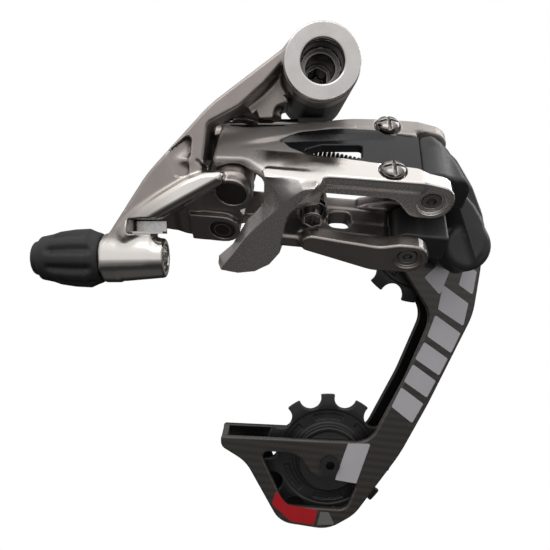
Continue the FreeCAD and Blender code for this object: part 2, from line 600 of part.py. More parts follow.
# ---------------------------------------------------------------- P-knuckle
def knuckle_clearance():
    """Space beside the P-knuckle that the ears of both links turn in."""
    bx = LINK_LENGTH
    dx, dy = LINK_OFFSET[0] + LINK_LENGTH, LINK_OFFSET[1]
    shapes = [
        rod(6.4, (bx, 0, -3), 3.0 + B_LOW),
        rod(8.0, (bx, 0, B_HIGH), 9.0),
        rod(6.4, (dx, dy, -12), 12.0 + D_LOW),
        rod(6.4, (dx, dy, D_HIGH), D_TOP - D_HIGH + 0.4),
    ]
    for angle in (0, 15, 30, 45, SWING):
        arm = Part.makeBox(31.2, 9.4, 40.0, Vector(-34.6, -8.0, -8.0))
        arm = arm.cut(rod(6.9, (0, 0, -9), 42))
        outer = spun(arm, angle)
        outer.translate(Vector(bx, 0, 0))
        inner_arm = Part.makeBox(30.0, 8.0, D_TOP + 8.0, Vector(-35.3, -3.4, D_BOTTOM - 0.6))
        inner = spun(inner_arm, angle)
        inner.translate(Vector(dx, dy, 0))
        shapes += [outer, inner]
    return fuse(*shapes)


def p_knuckle():
    """Black composite knuckle: spring housing, and bosses for pins B and D."""
    bx = LINK_LENGTH
    dx, dy = LINK_OFFSET[0] + LINK_LENGTH, LINK_OFFSET[1]
    low_height = D_HIGH - D_LOW - 2 * SIDE_GAP
    nose_end = KNUCKLE_FRONT + NOSE_LENGTH
    housing = rod(KNUCKLE_RADIUS, (CAGE_X, nose_end, CAGE_Z), KNUCKLE_REAR - nose_end, Y_AXIS)
    nose = Part.makeCone(
        KNUCKLE_NOSE, KNUCKLE_RADIUS, NOSE_LENGTH, Vector(CAGE_X, KNUCKLE_FRONT, CAGE_Z), Y_AXIS)
    shells = fuse(
        upright_slab(UPPER_SHELL, -22.0, 14.0),
        upright_slab(LOWER_SHELL, -15.5, 14.5),
        upright_slab(BACK_LAYER, -9.0, 8.0),
    )
    bosses = in_linkage(fuse(
        rod(6.2, (bx, 0, B_LOW), B_HIGH - B_LOW),
        rod(4.8, (dx, dy, D_LOW + SIDE_GAP), low_height),
        Part.makeBox(9.0, 11.0, B_HIGH - B_LOW, Vector(bx + 1.5, -5.0, B_LOW)),
        Part.makeBox(10.0, 9.0, low_height, Vector(dx + 1.0, dy - 4.5, D_LOW + SIDE_GAP)),
    ))
    body = fuse(housing, nose, shells, bosses).cut(in_linkage(knuckle_clearance()))
    arm = in_linkage(slab(SPRING_ARM, SPRING_LEVEL - 1.3, 3.0))
    body = fuse(body, arm)
    cuts = fuse(
        in_linkage(rod(LINK_BUSH_RADIUS, (bx, 0, -2), 30)),
        in_linkage(rod(LINK_BUSH_RADIUS, (dx, dy, -9), 22)),
        in_linkage(rod(1.2, (44.6, 7.2, 10), 20)),
        rod(SPRING_WELL, (CAGE_X, nose_end, CAGE_Z), 30.0, Y_AXIS),
        rod(AXLE_RADIUS + RUNNING + CAGE_BUSH_WALL, (CAGE_X, KNUCKLE_FRONT + 1.5, CAGE_Z), 30.0, Y_AXIS),
        rod(CAP_RADIUS, (CAGE_X, KNUCKLE_FRONT - 2.0, CAGE_Z), 3.2, Y_AXIS),
        rod(3.0, (CAGE_X, KNUCKLE_FRONT - 1.0, CAGE_Z), 6.0, Y_AXIS),
    )
    body = body.cut(cuts)
    return max(body.Solids, key=lambda solid: solid.Volume)


def p_knuckle_cap():
    """Plug that closes the outboard end of the pivot."""
    return rod(CAP_RADIUS, (CAGE_X, KNUCKLE_FRONT + 0.1, CAGE_Z), 1.1, Y_AXIS)


def cage_bush():
    """Long plain bush that the cage axle turns in."""
    bore = AXLE_RADIUS + RUNNING
    return ring(bore + CAGE_BUSH_WALL, bore, (CAGE_X, KNUCKLE_FRONT + 1.5, CAGE_Z), 18.0, Y_AXIS)


def cage_seal():
    """Rubber ring between the knuckle and the cage."""
    return ring(7.5, 6.9, (CAGE_X, KNUCKLE_REAR + 0.05, CAGE_Z), 0.6, Y_AXIS)


def cage_spring():
    """Torsion coil round the axle."""
    pitch = CAGE_SPRING_LENGTH / CAGE_SPRING_TURNS
    body = coil(CAGE_SPRING_RADIUS, CAGE_SPRING_WIRE, pitch, CAGE_SPRING_LENGTH)
    if body.ShapeType != "Solid":
        body = Part.Solid(Part.Shell(body.Faces))
    body.rotate(Vector(0, 0, 0), X_AXIS, -90)
    body.translate(Vector(CAGE_X, KNUCKLE_FRONT + 5.0, CAGE_Z))
    return body


# ---------------------------------------------------------------- cage
def wheel_hole(place, radius, start, length):
    x, z = place
    return rod(radius, (x, start, z), length, Y_AXIS)


def outer_cage_plate():
    """Carbon outer plate with the lower window and the wall that closes the tail."""
    plate = upright_slab(CAGE_OUTLINE, PLATE_OUTER, PLATE_THICK)
    window = upright_slab(CAGE_WINDOW, PLATE_OUTER - 1, 5)
    tail = Part.makeBox(2.2, PLATE_INNER - PLATE_OUTER - 0.05, 3.6, Vector(-31.0, PLATE_OUTER, -119.8))
    pivot = rod(AXLE_RADIUS, (CAGE_X, 0, CAGE_Z), 10, Y_AXIS)
    wheels = [wheel_hole(p, WHEEL_BOLT_RADIUS, 0, 10) for p in (UPPER_WHEEL, LOWER_WHEEL)]
    holes = fuse(window, pivot, *wheels)
    return fuse(plate, tail).cut(holes)


def inner_cage_plate():
    """Aluminium inner plate."""
    plate = upright_slab(CAGE_OUTLINE, PLATE_INNER, PLATE_THICK)
    window = upright_slab(INNER_WINDOW, PLATE_INNER - 1, 5)
    slot = upright_slab(INNER_SLOT, PLATE_INNER - 1, 5)
    wheels = [wheel_hole(p, WHEEL_BOLT_RADIUS, 10, 12) for p in (UPPER_WHEEL, LOWER_WHEEL)]
    holes = fuse(window, slot, *wheels)
    return plate.cut(holes)


def cage_pivot_axle():
    """Hollow steel axle fixed in the outer plate."""
    start = KNUCKLE_FRONT + 4.0
    axle = rod(AXLE_RADIUS, (CAGE_X, start, CAGE_Z), PLATE_OUTER + PLATE_THICK - start, Y_AXIS)
    return axle.cut(rod(1.6, (CAGE_X, start, CAGE_Z), 12.0, Y_AXIS))


def cage_pivot_screw():
    """Screw and washer head that keep the axle in the knuckle."""
    start = KNUCKLE_FRONT + 1.35
    head = rod(2.9, (CAGE_X, start, CAGE_Z), 2.65, Y_AXIS)
    shank = rod(1.6, (CAGE_X, start + 2.65, CAGE_Z), 10.0, Y_AXIS)
    socket = hexagon(2.5, (CAGE_X, start, CAGE_Z), 1.6, Y_AXIS)
    return fuse(head, shank).cut(socket)


def cage_stop_pin():
    """Pin on the outer plate that meets the knuckle's stop when the cage is fully back."""
    return rod(1.5, (CAGE_X - 11.3, PLATE_OUTER - 3.5, CAGE_Z - 1.0), 3.5, Y_AXIS)


def pulley_bolt(place, head_outside):
    """Socket screw that clamps the cage plates, bearing and caps together."""
    x, z = place
    inner_face = PLATE_INNER + PLATE_THICK
    shank = rod(WHEEL_BOLT_RADIUS, (x, PLATE_OUTER, z), inner_face - PLATE_OUTER, Y_AXIS)
    if head_outside:
        start = PLATE_OUTER - 1.4
        socket = hexagon(3.0, (x, start, z), 2.6, Y_AXIS)
    else:
        start = inner_face
        socket = hexagon(3.0, (x, start - 1.2, z), 2.6, Y_AXIS)
    return fuse(shank, rod(3.4, (x, start, z), 1.4, Y_AXIS)).cut(socket)


# ---------------------------------------------------------------- jockey wheels
def toothed_outline():
    """Chainwheel face: round roller valleys between short flat-topped teeth."""
    pitch_radius = CHAIN_PITCH / (2 * math.sin(math.pi / TEETH))
    disc = Part.makeCylinder(TIP_RADIUS, RIM_THICK)
    valleys = []
    for i in range(TEETH):
        angle = 2 * math.pi * (i + 0.5) / TEETH
        x, y = pitch_radius * math.sin(angle), pitch_radius * math.cos(angle)
        valley = rod(ROLLER_RADIUS, (x, y, 0), RIM_THICK)
        corner = Vector(-ROLLER_RADIUS, pitch_radius + 1.2, 0)
        mouth = Part.makeBox(2 * ROLLER_RADIUS, 8.0, RIM_THICK, corner)
        mouth.rotate(Vector(0, 0, 0), Z_AXIS, -math.degrees(angle))
        valleys += [valley, mouth]
    return disc.cut(fuse(*valleys))


def jockey_wheel(place, turn):
    """Toothed wheel with a thick hub, a thin web and arc-shaped lightening grooves."""
    rim = toothed_outline()
    hub = rod(11.6, (0, 0, (RIM_THICK - BEARING_WIDTH) / 2), BEARING_WIDTH)
    body = fuse(rim, hub)
    grooves = []
    for i in range(6):
        arc = ring(16.4, 14.2, (0, 0, -0.1), 0.8)
        keep = Part.makeBox(9.0, 20.0, 2.0, Vector(-4.5, 4.0, -1.0))
        groove = arc.common(keep)
        groove.rotate(Vector(0, 0, 0), Z_AXIS, 60 * i)
        back = groove.copy()
        back.translate(Vector(0, 0, RIM_THICK - 0.6))
        grooves += [groove, back]
    body = body.cut(fuse(*grooves))
    body = body.cut(rod(OUTER_RACE_RADIUS, (0, 0, -10), 20))
    body.rotate(Vector(0, 0, 0), Z_AXIS, turn)
    body.rotate(Vector(0, 0, 0), X_AXIS, 90)
    x, z = place
    body.translate(Vector(x, CAGE_MIDDLE + RIM_THICK / 2, z))
    return body


def bearing_start():
    return CAGE_MIDDLE - BEARING_WIDTH / 2


def race_groove(place):
    x, z = place
    torus = Part.makeTorus(5.75, BALL_RADIUS + 0.03, Vector(x, CAGE_MIDDLE, z), Y_AXIS)
    return torus


def inner_race(place):
    x, z = place
    body = ring(INNER_RACE_RADIUS, WHEEL_BOLT_RADIUS, (x, bearing_start(), z), BEARING_WIDTH, Y_AXIS)
    return body.cut(race_groove(place))


def outer_race(place):
    x, z = place
    body = ring(OUTER_RACE_RADIUS, 7.15, (x, bearing_start(), z), BEARING_WIDTH, Y_AXIS)
    return body.cut(race_groove(place))


def bearing_balls(place):
    x, z = place
    balls = []
    for i in range(BALL_COUNT):
        angle = 2 * math.pi * i / BALL_COUNT
        centre = Vector(x + 5.75 * math.cos(angle), CAGE_MIDDLE, z + 5.75 * math.sin(angle))
        balls.append(Part.makeSphere(BALL_RADIUS, centre))
    return Part.makeCompound(balls)


def dust_caps(place):
    """Two caps that clamp the inner race and cover the bearing's sides."""
    x, z = place
    caps = []
    sides = ((PLATE_OUTER + PLATE_THICK, bearing_start()), (bearing_start() + BEARING_WIDTH, PLATE_INNER))
    for low, high in sides:
        collar = ring(4.1, WHEEL_BOLT_RADIUS, (x, low, z), high - low, Y_AXIS)
        outer_side = low if low < CAGE_MIDDLE else high - 0.8
        cover = ring(10.6, WHEEL_BOLT_RADIUS, (x, outer_side, z), 0.8, Y_AXIS)
        caps.append(fuse(collar, cover))
    return Part.makeCompound(caps)


# ---------------------------------------------------------------- the whole part
def build():
    pin_c = LINK_OFFSET
    pin_b = (LINK_LENGTH, 0.0)
    pin_d = (LINK_OFFSET[0] + LINK_LENGTH, LINK_OFFSET[1])
    running_pin = PIN_RADIUS + RUNNING
    pieces = {
        "mounting_bolt": mounting_bolt(),
        "bolt_retaining_clip": bolt_retaining_clip(),
        "hanger_stop_plate": hanger_stop_plate(),
        "b_knuckle": b_knuckle(),
        "hub_cover": lower_sector(HUB_RADIUS, HUB_RADIUS - 0.9),
        "hub_bush_front": hub_bush(-30.4),
        "hub_bush_rear": hub_bush(-11.3),
        "b_adjust_screw": b_adjust_screw(),
        "outer_link_pin_rear": plain_pin((0, 0), 0.0, PIN_A_TOP),
        "inner_link_pin_rear": plain_pin(pin_c, C_BOTTOM, C_TOP),
        "cable_guide_plate": cable_guide_plate(),
        "barrel_adjuster": barrel_adjuster(),
        "barrel_core": barrel_core(),
        "barrel_end_ring": barrel_end_ring(),
        "outer_link": outer_link(),
        "link_insert": link_insert(),
        "outer_link_bushes": bush_pair((0, 0), A_LOW, A_HIGH, running_pin),
        "outer_link_pin_front": plain_pin(pin_b, 1.2, PIN_B_TOP),
        "limit_screw_high": limit_screw(SCREW_PLACES[0]),
        "limit_screw_low": limit_screw(SCREW_PLACES[1]),
        "return_spring": return_spring(),
        "spring_post": spring_post(),
        "inner_link": inner_link(),
        "inner_link_bushes": bush_pair(pin_c, C_LOW, C_HIGH, running_pin),
        "inner_link_pin_front": plain_pin(pin_d, D_BOTTOM + 1.2, D_TOP),
        "cable_anchor_bolt": cable_anchor_bolt(),
        "cable_anchor_washer": cable_anchor_washer(),
        "p_knuckle": p_knuckle(),
        "p_knuckle_upper_bushes": bush_pair(pin_b, B_LOW, B_HIGH, running_pin),
        "p_knuckle_lower_bushes": bush_pair(pin_d, D_LOW, D_HIGH, PIN_RADIUS + OPEN_PIVOT_GAP),
        "p_knuckle_cap": p_knuckle_cap(),
        "cage_bush": cage_bush(),
        "cage_seal": cage_seal(),
        "cage_spring": cage_spring(),
        "outer_cage_plate": outer_cage_plate(),
        "inner_cage_plate": inner_cage_plate(),
        "cage_pivot_axle": cage_pivot_axle(),
        "cage_pivot_screw": cage_pivot_screw(),
        "cage_stop_pin": cage_stop_pin(),
        "upper_pulley": jockey_wheel(UPPER_WHEEL, 6.0),
        "lower_pulley": jockey_wheel(LOWER_WHEEL, 0.0),
    }
    for name, place in (("upper", UPPER_WHEEL), ("lower", LOWER_WHEEL)):
        pieces[name + "_pulley_bolt"] = pulley_bolt(place, name == "lower")
        pieces[name + "_bearing_inner_race"] = inner_race(place)
        pieces[name + "_bearing_outer_race"] = outer_race(place)
        pieces[name + "_bearing_balls"] = bearing_balls(place)
        pieces[name + "_bearing_caps"] = dust_caps(place)
    return pieces


os.makedirs(PARTS_FOLDER, exist_ok=True)
for node, shape in build().items():
    shape.exportStep(os.path.join(PARTS_FOLDER, node + ".step"))
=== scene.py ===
import json
import math

import bpy
import numpy as np
from mathutils import Matrix, Vector


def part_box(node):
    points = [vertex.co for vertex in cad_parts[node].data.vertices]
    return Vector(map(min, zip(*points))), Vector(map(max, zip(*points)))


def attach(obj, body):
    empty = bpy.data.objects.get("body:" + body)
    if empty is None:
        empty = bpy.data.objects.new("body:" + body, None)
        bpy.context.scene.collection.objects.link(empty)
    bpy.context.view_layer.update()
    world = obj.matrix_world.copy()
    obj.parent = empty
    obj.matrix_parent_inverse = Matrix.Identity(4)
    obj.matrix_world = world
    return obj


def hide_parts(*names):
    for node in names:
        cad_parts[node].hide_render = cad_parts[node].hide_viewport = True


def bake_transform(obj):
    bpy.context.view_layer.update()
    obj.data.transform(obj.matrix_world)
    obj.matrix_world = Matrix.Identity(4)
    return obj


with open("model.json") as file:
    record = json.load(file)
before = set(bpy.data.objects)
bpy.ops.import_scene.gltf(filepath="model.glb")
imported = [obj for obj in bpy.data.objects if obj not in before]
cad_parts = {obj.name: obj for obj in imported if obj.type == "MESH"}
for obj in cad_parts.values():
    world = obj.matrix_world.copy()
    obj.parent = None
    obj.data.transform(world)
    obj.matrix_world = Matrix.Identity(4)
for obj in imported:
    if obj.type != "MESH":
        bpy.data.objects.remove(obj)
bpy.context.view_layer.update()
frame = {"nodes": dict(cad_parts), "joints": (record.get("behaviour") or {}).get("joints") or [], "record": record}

# Looks for a rear bicycle derailleur, built round its CAD frame.
# Shapes are worked out in millimetres, in one of two sets of axes:
#   world    the record's own axes: +X forwards, +Y inboard, +Z up
#   linkage  u along the links, w inboard and down, v up the pivot pins

MM = 1000.0
NODES = frame["nodes"]
JOINTS = {joint["name"]: joint for joint in frame["joints"]}


# ---------------------------------------------------------------- axes from the record
def joint_place(name):
    return np.array(JOINTS[name]["pos_m"], float) * MM


def unit(vector):
    vector = np.array(vector, float)
    return vector / np.linalg.norm(vector)


PIN_AXIS = unit(JOINTS["outer_link_pivot"]["axis"])
LINK_VECTOR = joint_place("p_knuckle_pivot") - joint_place("outer_link_pivot")
ALONG = unit(LINK_VECTOR)
INBOARD = np.cross(PIN_AXIS, ALONG)
LINK = float(np.linalg.norm(LINK_VECTOR))
PIN_MIDDLE = 14.0                      # the joint's point is this far up pin A
PIN_A = joint_place("outer_link_pivot") - PIN_MIDDLE * PIN_AXIS
PIN_C = (joint_place("inner_link_pivot") - PIN_A) @ np.array([ALONG, INBOARD]).T
PIN_D = PIN_C + np.array([LINK, 0.0])
WORLD_FRAME = (np.zeros(3), np.eye(3))
LINK_FRAME = (PIN_A, np.array([ALONG, INBOARD, PIN_AXIS]))


def node_box(name):
    """Lowest and highest corner of a CAD node, in millimetres."""
    low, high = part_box(name)
    return np.array(low) * MM, np.array(high) * MM


def node_middle(name):
    low, high = node_box(name)
    return (low + high) / 2


def in_linkage(x, y, z):
    """World coordinates to linkage coordinates."""
    origin, rows = LINK_FRAME
    x, y, z = x - origin[0], y - origin[1], z - origin[2]
    return [x * row[0] + y * row[1] + z * row[2] for row in rows]


# ---------------------------------------------------------------- distance fields
def rounded(corners, steps=5):
    """Outline points from (x, y, corner radius) corners."""
    points = []
    for i, (x, y, radius) in enumerate(corners):
        corner = np.array([x, y], float)
        if radius == 0:
            points.append(corner)
            continue
        before = unit(np.array(corners[i - 1][:2]) - corner)
        after = unit(np.array(corners[(i + 1) % len(corners)][:2]) - corner)
        half = math.acos(max(-1.0, min(1.0, float(before @ after)))) / 2
        reach = radius / math.tan(half)
        centre = corner + unit(before + after) * radius / math.sin(half)
        first, last = corner + before * reach - centre, corner + after * reach - centre
        start = math.atan2(first[1], first[0])
        sweep = (math.atan2(last[1], last[0]) - start + math.pi) % (2 * math.pi) - math.pi
        for k in range(steps + 1):
            angle = start + sweep * k / steps
            points.append(centre + radius * np.array([math.cos(angle), math.sin(angle)]))
    return points


def flat(x, y, points):
    """Signed distance in a plane to a closed outline."""
    distance = np.full(np.broadcast(x, y).shape, 1e9, np.float32)
    sign = np.ones_like(distance)
    for (ax, ay), (bx, by) in zip(points, points[1:] + points[:1]):
        ex, ey = bx - ax, by - ay
        length = ex * ex + ey * ey
        if length < 1e-9:
            continue
        px, py = x - ax, y - ay
        t = np.clip((px * ex + py * ey) / length, 0, 1)
        distance = np.minimum(distance, (px - ex * t) ** 2 + (py - ey * t) ** 2)
        above, below, side = y >= ay, y < by, ex * py > ey * px
        flip = (above & below & side) | (~above & ~below & ~side)
        sign = np.where(flip, -sign, sign)
    return sign * np.sqrt(distance)


def prism(plan, along, low, high, soft=0.4):
    """Solid on a plane distance field, between two heights, with rounded edges."""
    q = np.abs(along - (low + high) / 2) - (high - low) / 2 + soft
    p = plan + soft
    return np.minimum(np.maximum(p, q), 0) + np.hypot(np.maximum(p, 0), np.maximum(q, 0)) - soft


def join(a, b, k=1.0):
    h = np.maximum(k - np.abs(a - b), 0) / k
    return np.minimum(a, b) - h * h * k / 4


def common(a, b, k=0.3):
    return -join(-a, -b, k)


def cut(a, b, k=0.3):
    return -join(-a, b, k)


def drilled(body, *holes):
    """Body less some holes, each (plan distance, axis, low, high, softness, rounding of its rim)."""
    for plan, along, low, high, soft, k in holes:
        body = cut(body, prism(plan, along, low, high, soft), k)
    return body


def circle(x, y, cx, cy, radius):
    return np.hypot(x - cx, y - cy) - radius


def hexagon(x, y, cx, cy, flats, turn=0.0):
    distance = None
    for i in range(3):
        angle = turn + math.pi * i / 3
        side = np.abs((x - cx) * math.cos(angle) + (y - cy) * math.sin(angle)) - flats / 2
        distance = side if distance is None else np.maximum(distance, side)
    return distance


def slab_box(x, y, z, low, high, soft=0.3):
    q = [np.abs(c - (l + h) / 2) - (h - l) / 2 + soft for c, l, h in zip((x, y, z), low, high)]
    outside = np.sqrt(sum(np.maximum(c, 0) ** 2 for c in q))
    return outside + np.minimum(np.maximum(np.maximum(q[0], q[1]), q[2]), 0) - soft


# ---------------------------------------------------------------- distance field to mesh
CORNERS = [(i, j, k) for i in (0, 1) for j in (0, 1) for k in (0, 1)]
EDGES = [(a, b) for a in range(8) for b in range(a + 1, 8)
         if sum(abs(p - q) for p, q in zip(CORNERS[a], CORNERS[b])) == 1]


def gradient(field, points, reach):
    """Slope of the field at scattered points."""
    slope = np.empty_like(points)
    for k in range(3):
        step = np.zeros(3)
        step[k] = reach
        high = field(*(points + step).T)
        low = field(*(points - step).T)
        slope[:, k] = (high - low) / (2 * reach)
    return slope


def skin(field, low, high, step):
    """Vertices, quads and normals of the surface where the field is zero."""
    low, high = np.array(low, float), np.array(high, float)
    counts = np.ceil((high - low) / step).astype(int) + 1
    axes = [low[k] + step * np.arange(counts[k]) for k in range(3)]
    grid = np.broadcast_to(field(axes[0][:, None, None], axes[1][None, :, None], axes[2][None, None, :]),
                           tuple(counts)).astype(np.float32)
    inside = grid < 0
    cells = np.zeros(tuple(counts - 1), np.int8)
    for i, j, k in CORNERS:
        cells += inside[i:i + counts[0] - 1, j:j + counts[1] - 1, k:k + counts[2] - 1]
    crossed = np.argwhere((cells > 0) & (cells < 8))
    index = np.full(cells.shape, -1, np.int64)
    index[tuple(crossed.T)] = np.arange(len(crossed))
    values = np.stack([grid[tuple((crossed + c).T)] for c in CORNERS], 1)
    total, weight = np.zeros((len(crossed), 3)), np.zeros(len(crossed))
    for a, b in EDGES:
        va, vb = values[:, a], values[:, b]
        hit = (va < 0) != (vb < 0)
        t = np.where(hit, va / np.where(hit, va - vb, 1), 0)[:, None]
        place = np.array(CORNERS[a]) * (1 - t) + np.array(CORNERS[b]) * t
        total += place * hit[:, None]
        weight += hit
    points = low + step * (crossed + total / weight[:, None])
    quads = []
    for axis in range(3):
        other, third = (axis + 1) % 3, (axis + 2) % 3
        here = [slice(None)] * 3
        there = [slice(None)] * 3
        here[axis], there[axis] = slice(0, -1), slice(1, None)
        first, second = inside[tuple(here)], inside[tuple(there)]
        edge = np.argwhere(first != second)
        keep = (edge[:, other] > 0) & (edge[:, third] > 0)
        keep &= (edge[:, other] < counts[other] - 1) & (edge[:, third] < counts[third] - 1)
        edge = edge[keep]
        ring = []
        for p, q in ((0, 0), (1, 0), (1, 1), (0, 1)):
            cell = edge.copy()
            cell[:, other] -= p
            cell[:, third] -= q
            ring.append(index[tuple(cell.T)])
        ring = np.stack(ring, 1)
        outward = first[tuple(edge.T)]
        ring[~outward] = ring[~outward][:, ::-1]
        quads.append(ring)
    for _ in range(3):
        value = field(*points.T)
        slope = gradient(field, points, step * 0.15)
        size = np.maximum((slope ** 2).sum(1), 0.3)
        shift = (value / size)[:, None] * slope
        points = points - np.clip(shift, -0.4 * step, 0.4 * step)
    normals = gradient(field, points, step * 0.15)
    normals /= np.maximum(np.linalg.norm(normals, axis=1), 1e-6)[:, None]
    return points, np.concatenate(quads), normals


def mesh_object(name, points, faces, normals=None):
    """Smooth-shaded mesh from points in metres."""
    mesh = bpy.data.meshes.new(name)
    mesh.from_pydata(points.tolist(), [], [list(map(int, f)) for f in faces])
    mesh.polygons.foreach_set("use_smooth", [True] * len(mesh.polygons))
    mesh.update()
    if normals is not None:
        mesh.normals_split_custom_set_from_vertices(normals.tolist())
    thing = bpy.data.objects.new(name, mesh)
    bpy.context.scene.collection.objects.link(thing)
    return thing


def sculpt(name, field, low, high, step, axes=WORLD_FRAME, polish=None):
    """Piece shaped by a distance field, in the given axes; polish says how far each point is buffed."""
    step = step * 1.0
    points, quads, normals = skin(field, low, high, step)
    origin, rows = axes
    thing = mesh_object(name, (origin + points @ rows) / MM, quads, normals @ rows)
    if polish is not None:
        layer = thing.data.attributes.new("polish", "FLOAT", "POINT")
        layer.data.foreach_set("value", np.clip(polish(points, normals), 0, 1).astype(np.float32))
    return thing


def place(thing, body, slot_name, look, *stands_for):
    """Give a piece its body and its material; its record slot, slot_name, is not used."""
    thing.data.materials.clear()
    thing.data.materials.append(look)
    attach(thing, body)
    if stands_for:
        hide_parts(*stands_for)
    return thing


# ---------------------------------------------------------------- sizes taken from the CAD nodes
HUB_RADIUS = node_box("hanger_stop_plate")[1][0]
HUB_FRONT = node_box("hub_bush_front")[0][1]
HUB_BACK = node_box("hanger_stop_plate")[1][1] - 5.3
BOLT_FRONT = node_box("mounting_bolt")[0][1]
BOLT_RADIUS = node_box("mounting_bolt")[1][0]
BARREL_LOW, BARREL_HIGH = node_box("barrel_adjuster")
CABLE_Y, CABLE_Z = node_middle("barrel_core")[1:]
TUBE_LEFT = node_box("b_knuckle")[0][0]
TUBE_RIGHT = node_box("cable_guide_plate")[1][0] + 0.2
TUBE_RADIUS = 6.6
CAGE_X, CAGE_Z = joint_place("cage_pivot")[[0, 2]]
UPPER_X, UPPER_Z = joint_place("upper_pulley_spin")[[0, 2]]
LOWER_X, LOWER_Z = joint_place("lower_pulley_spin")[[0, 2]]
WHEEL_Y = joint_place("upper_pulley_spin")[1]
KNUCKLE_FRONT = node_box("p_knuckle_cap")[0][1] - 0.1
KNUCKLE_BACK = node_box("cage_seal")[0][1] - 0.05
PLATE_FRONT = 4.5
PLATE_THICK = 2.0
INNER_FRONT = node_box("inner_cage_plate")[0][1]
SWING = math.radians(JOINTS["outer_link_pivot"]["range_deg"][1])
PIN_RADIUS = 2.5
DRUM_RADIUS = 7.6
SPRING_WELL = 6.78
EAR_GAP = 0.3                          # between an ear and the piece that turns beside it
PIN_BORE = PIN_RADIUS + 0.05
BUSH_BORE = 3.25
FAR = 60.0                             # well outside every piece
A_LOW, A_HIGH, A_TOP = 6.0, 22.2, 25.6
B_LOW, B_HIGH, B_TOP = 5.2, 22.8, 27.6
C_LOW, C_HIGH, C_TOP = 3.0, 14.5, 18.5
D_BOTTOM, D_LOW, D_HIGH, D_TOP = -7.0, -2.0, 10.4, 14.8


def turned(x, y, cx, cy, angle):
    """Coordinates seen from axes turned by an angle about a centre."""
    c, s = math.cos(angle), math.sin(angle)
    return (x - cx) * c + (y - cy) * s, (y - cy) * c - (x - cx) * s


# ---------------------------------------------------------------- B-knuckle
ARM = rounded([
    (-6.0, 8.2, 0), (-10.4, 3.9, 5), (-29.7, -11.2, 40), (-46.0, -29.3, 40), (-58.3, -48.6, 4),
    (-58.3, -54.0, 0), (-46.0, -54.0, 2), (-44.5, -39.0, 3), (-35.5, -30.2, 12), (-27.0, -28.4, 2),
    (-31.6, -26.5, 1.5), (-30.3, -16.2, 2.5), (-22.0, -11.6, 7), (-15.4, -5.4, 8), (-9.0, 2.0, 0),
])
BRIDGE = rounded([
    (-3.0, 7.0, 0), (-10.2, 3.6, 4), (-29.4, -11.4, 20), (-33.4, -15.4, 1.5), (-30.6, -17.2, 1.5),
    (-28.8, -12.8, 1.5), (-13.0, -12.4, 0.8), (-12.2, -9.0, 2), (-6.0, -7.0, 0),
])
LOW_EAR = rounded([
    (5.2, -5.2, 4.6), (-6.0, -5.2, 7), (-21.0, 6.5, 20), (-33.5, 18.0, 2), (-24.0, 19.0, 8),
    (-3.5, 20.4, 5), (2.0, 13.0, 2), (5.2, 4.0, 4),
])
HIGH_EAR = rounded([(5.4, -5.4, 4.5), (-14.0, -8.0, 3), (-17.0, 20.0, 3), (1.8, 20.4, 5), (5.4, 4.0, 4)])
SIDE_WALL = rounded([(-10.5, -9.0, 2), (-17.0, -7.0, 3), (-17.0, 20.0, 3), (-10.5, 20.0, 2)])
REAR_EAR = rounded([(-13.0, 9.8, 0), (1.6, 9.8, 4.9), (1.6, 20.2, 4.9), (-13.0, 20.2, 0)])
ABOVE_ARM = rounded([
    (-4.0, 10.0, 0), (-10.6, 4.0, 0), (-29.9, -11.4, 0), (-46.2, -29.5, 0), (-60.0, -50.0, 0),
    (-60.0, -62.0, 0), (12.0, -62.0, 0), (12.0, 10.0, 0),
])
EAR_BAND = rounded([
    (-25.2, -28.3, 1.5), (-31.5, -28.8, 10), (-36.5, -30.8, 20), (-43.3, -34.9, 30), (-49.7, -39.3, 20),
    (-55.0, -45.2, 3), (-52.0, -48.5, 2), (-44.3, -41.9, 12), (-34.5, -36.4, 20), (-26.2, -31.8, 1.5),
])
# Middle, radius and level of the discs that close pins A and C.
PIN_SEATS = (((0, 0), 3.95, -2.6), (PIN_C, 3.6, -2.0))
DISC_THICK = 1.1
ARM_LEAN = 0.11                        # the arm's face comes outboard towards the tube
ARM_FRONT = -30.2
SCOOP = rounded([
    (-41.3, -24.6, 0), (-34.0, -18.0, 1), (-34.5, -21.5, 3), (-35.2, -29.5, 0), (-43.0, -30.5, 0),
])
SWING_STEPS = [SWING * i / 4 for i in range(5)]


def link_sweep(u, w, v):
    """Space the two links need as they swing, in linkage coordinates."""
    space = prism(circle(u, w, 0, 0, 5.6), v, A_LOW, A_HIGH, 0.1)
    near = circle(u, w, 0, 0, 5.6)
    for angle in SWING_STEPS:
        p, q = turned(u, w, 0, 0, angle)
        front = slab_box(p, q, v, (-6.6, -8.8, -0.6), (60, -3.0, A_HIGH + 1.8), 0.2)
        front = np.minimum(front, slab_box(p, q, v, (8.0, -8.8, -10.0), (60, 3.4, 20.0), 0.2))
        low_keep = prism(near, v, -12, A_LOW, 0.1)
        high_keep = prism(circle(u, w, 0, 0, 7.0), v, A_HIGH, 32, 0.1)
        space = np.minimum(space, cut(cut(front, low_keep), high_keep))
        p, q = turned(u, w, PIN_C[0], PIN_C[1], angle)
        web = slab_box(p, q, v, (4.2, -3.3, C_LOW), (60, 3.3, C_HIGH), 0.2)
        web = np.minimum(web, slab_box(p, q, v, (8.0, -3.3, -7.0), (60, 3.3, 1.0), 0.2))
        space = np.minimum(space, web)
    return np.minimum(space, prism(circle(u, w, *PIN_C, 5.7), v, C_LOW, C_HIGH, 0.1))


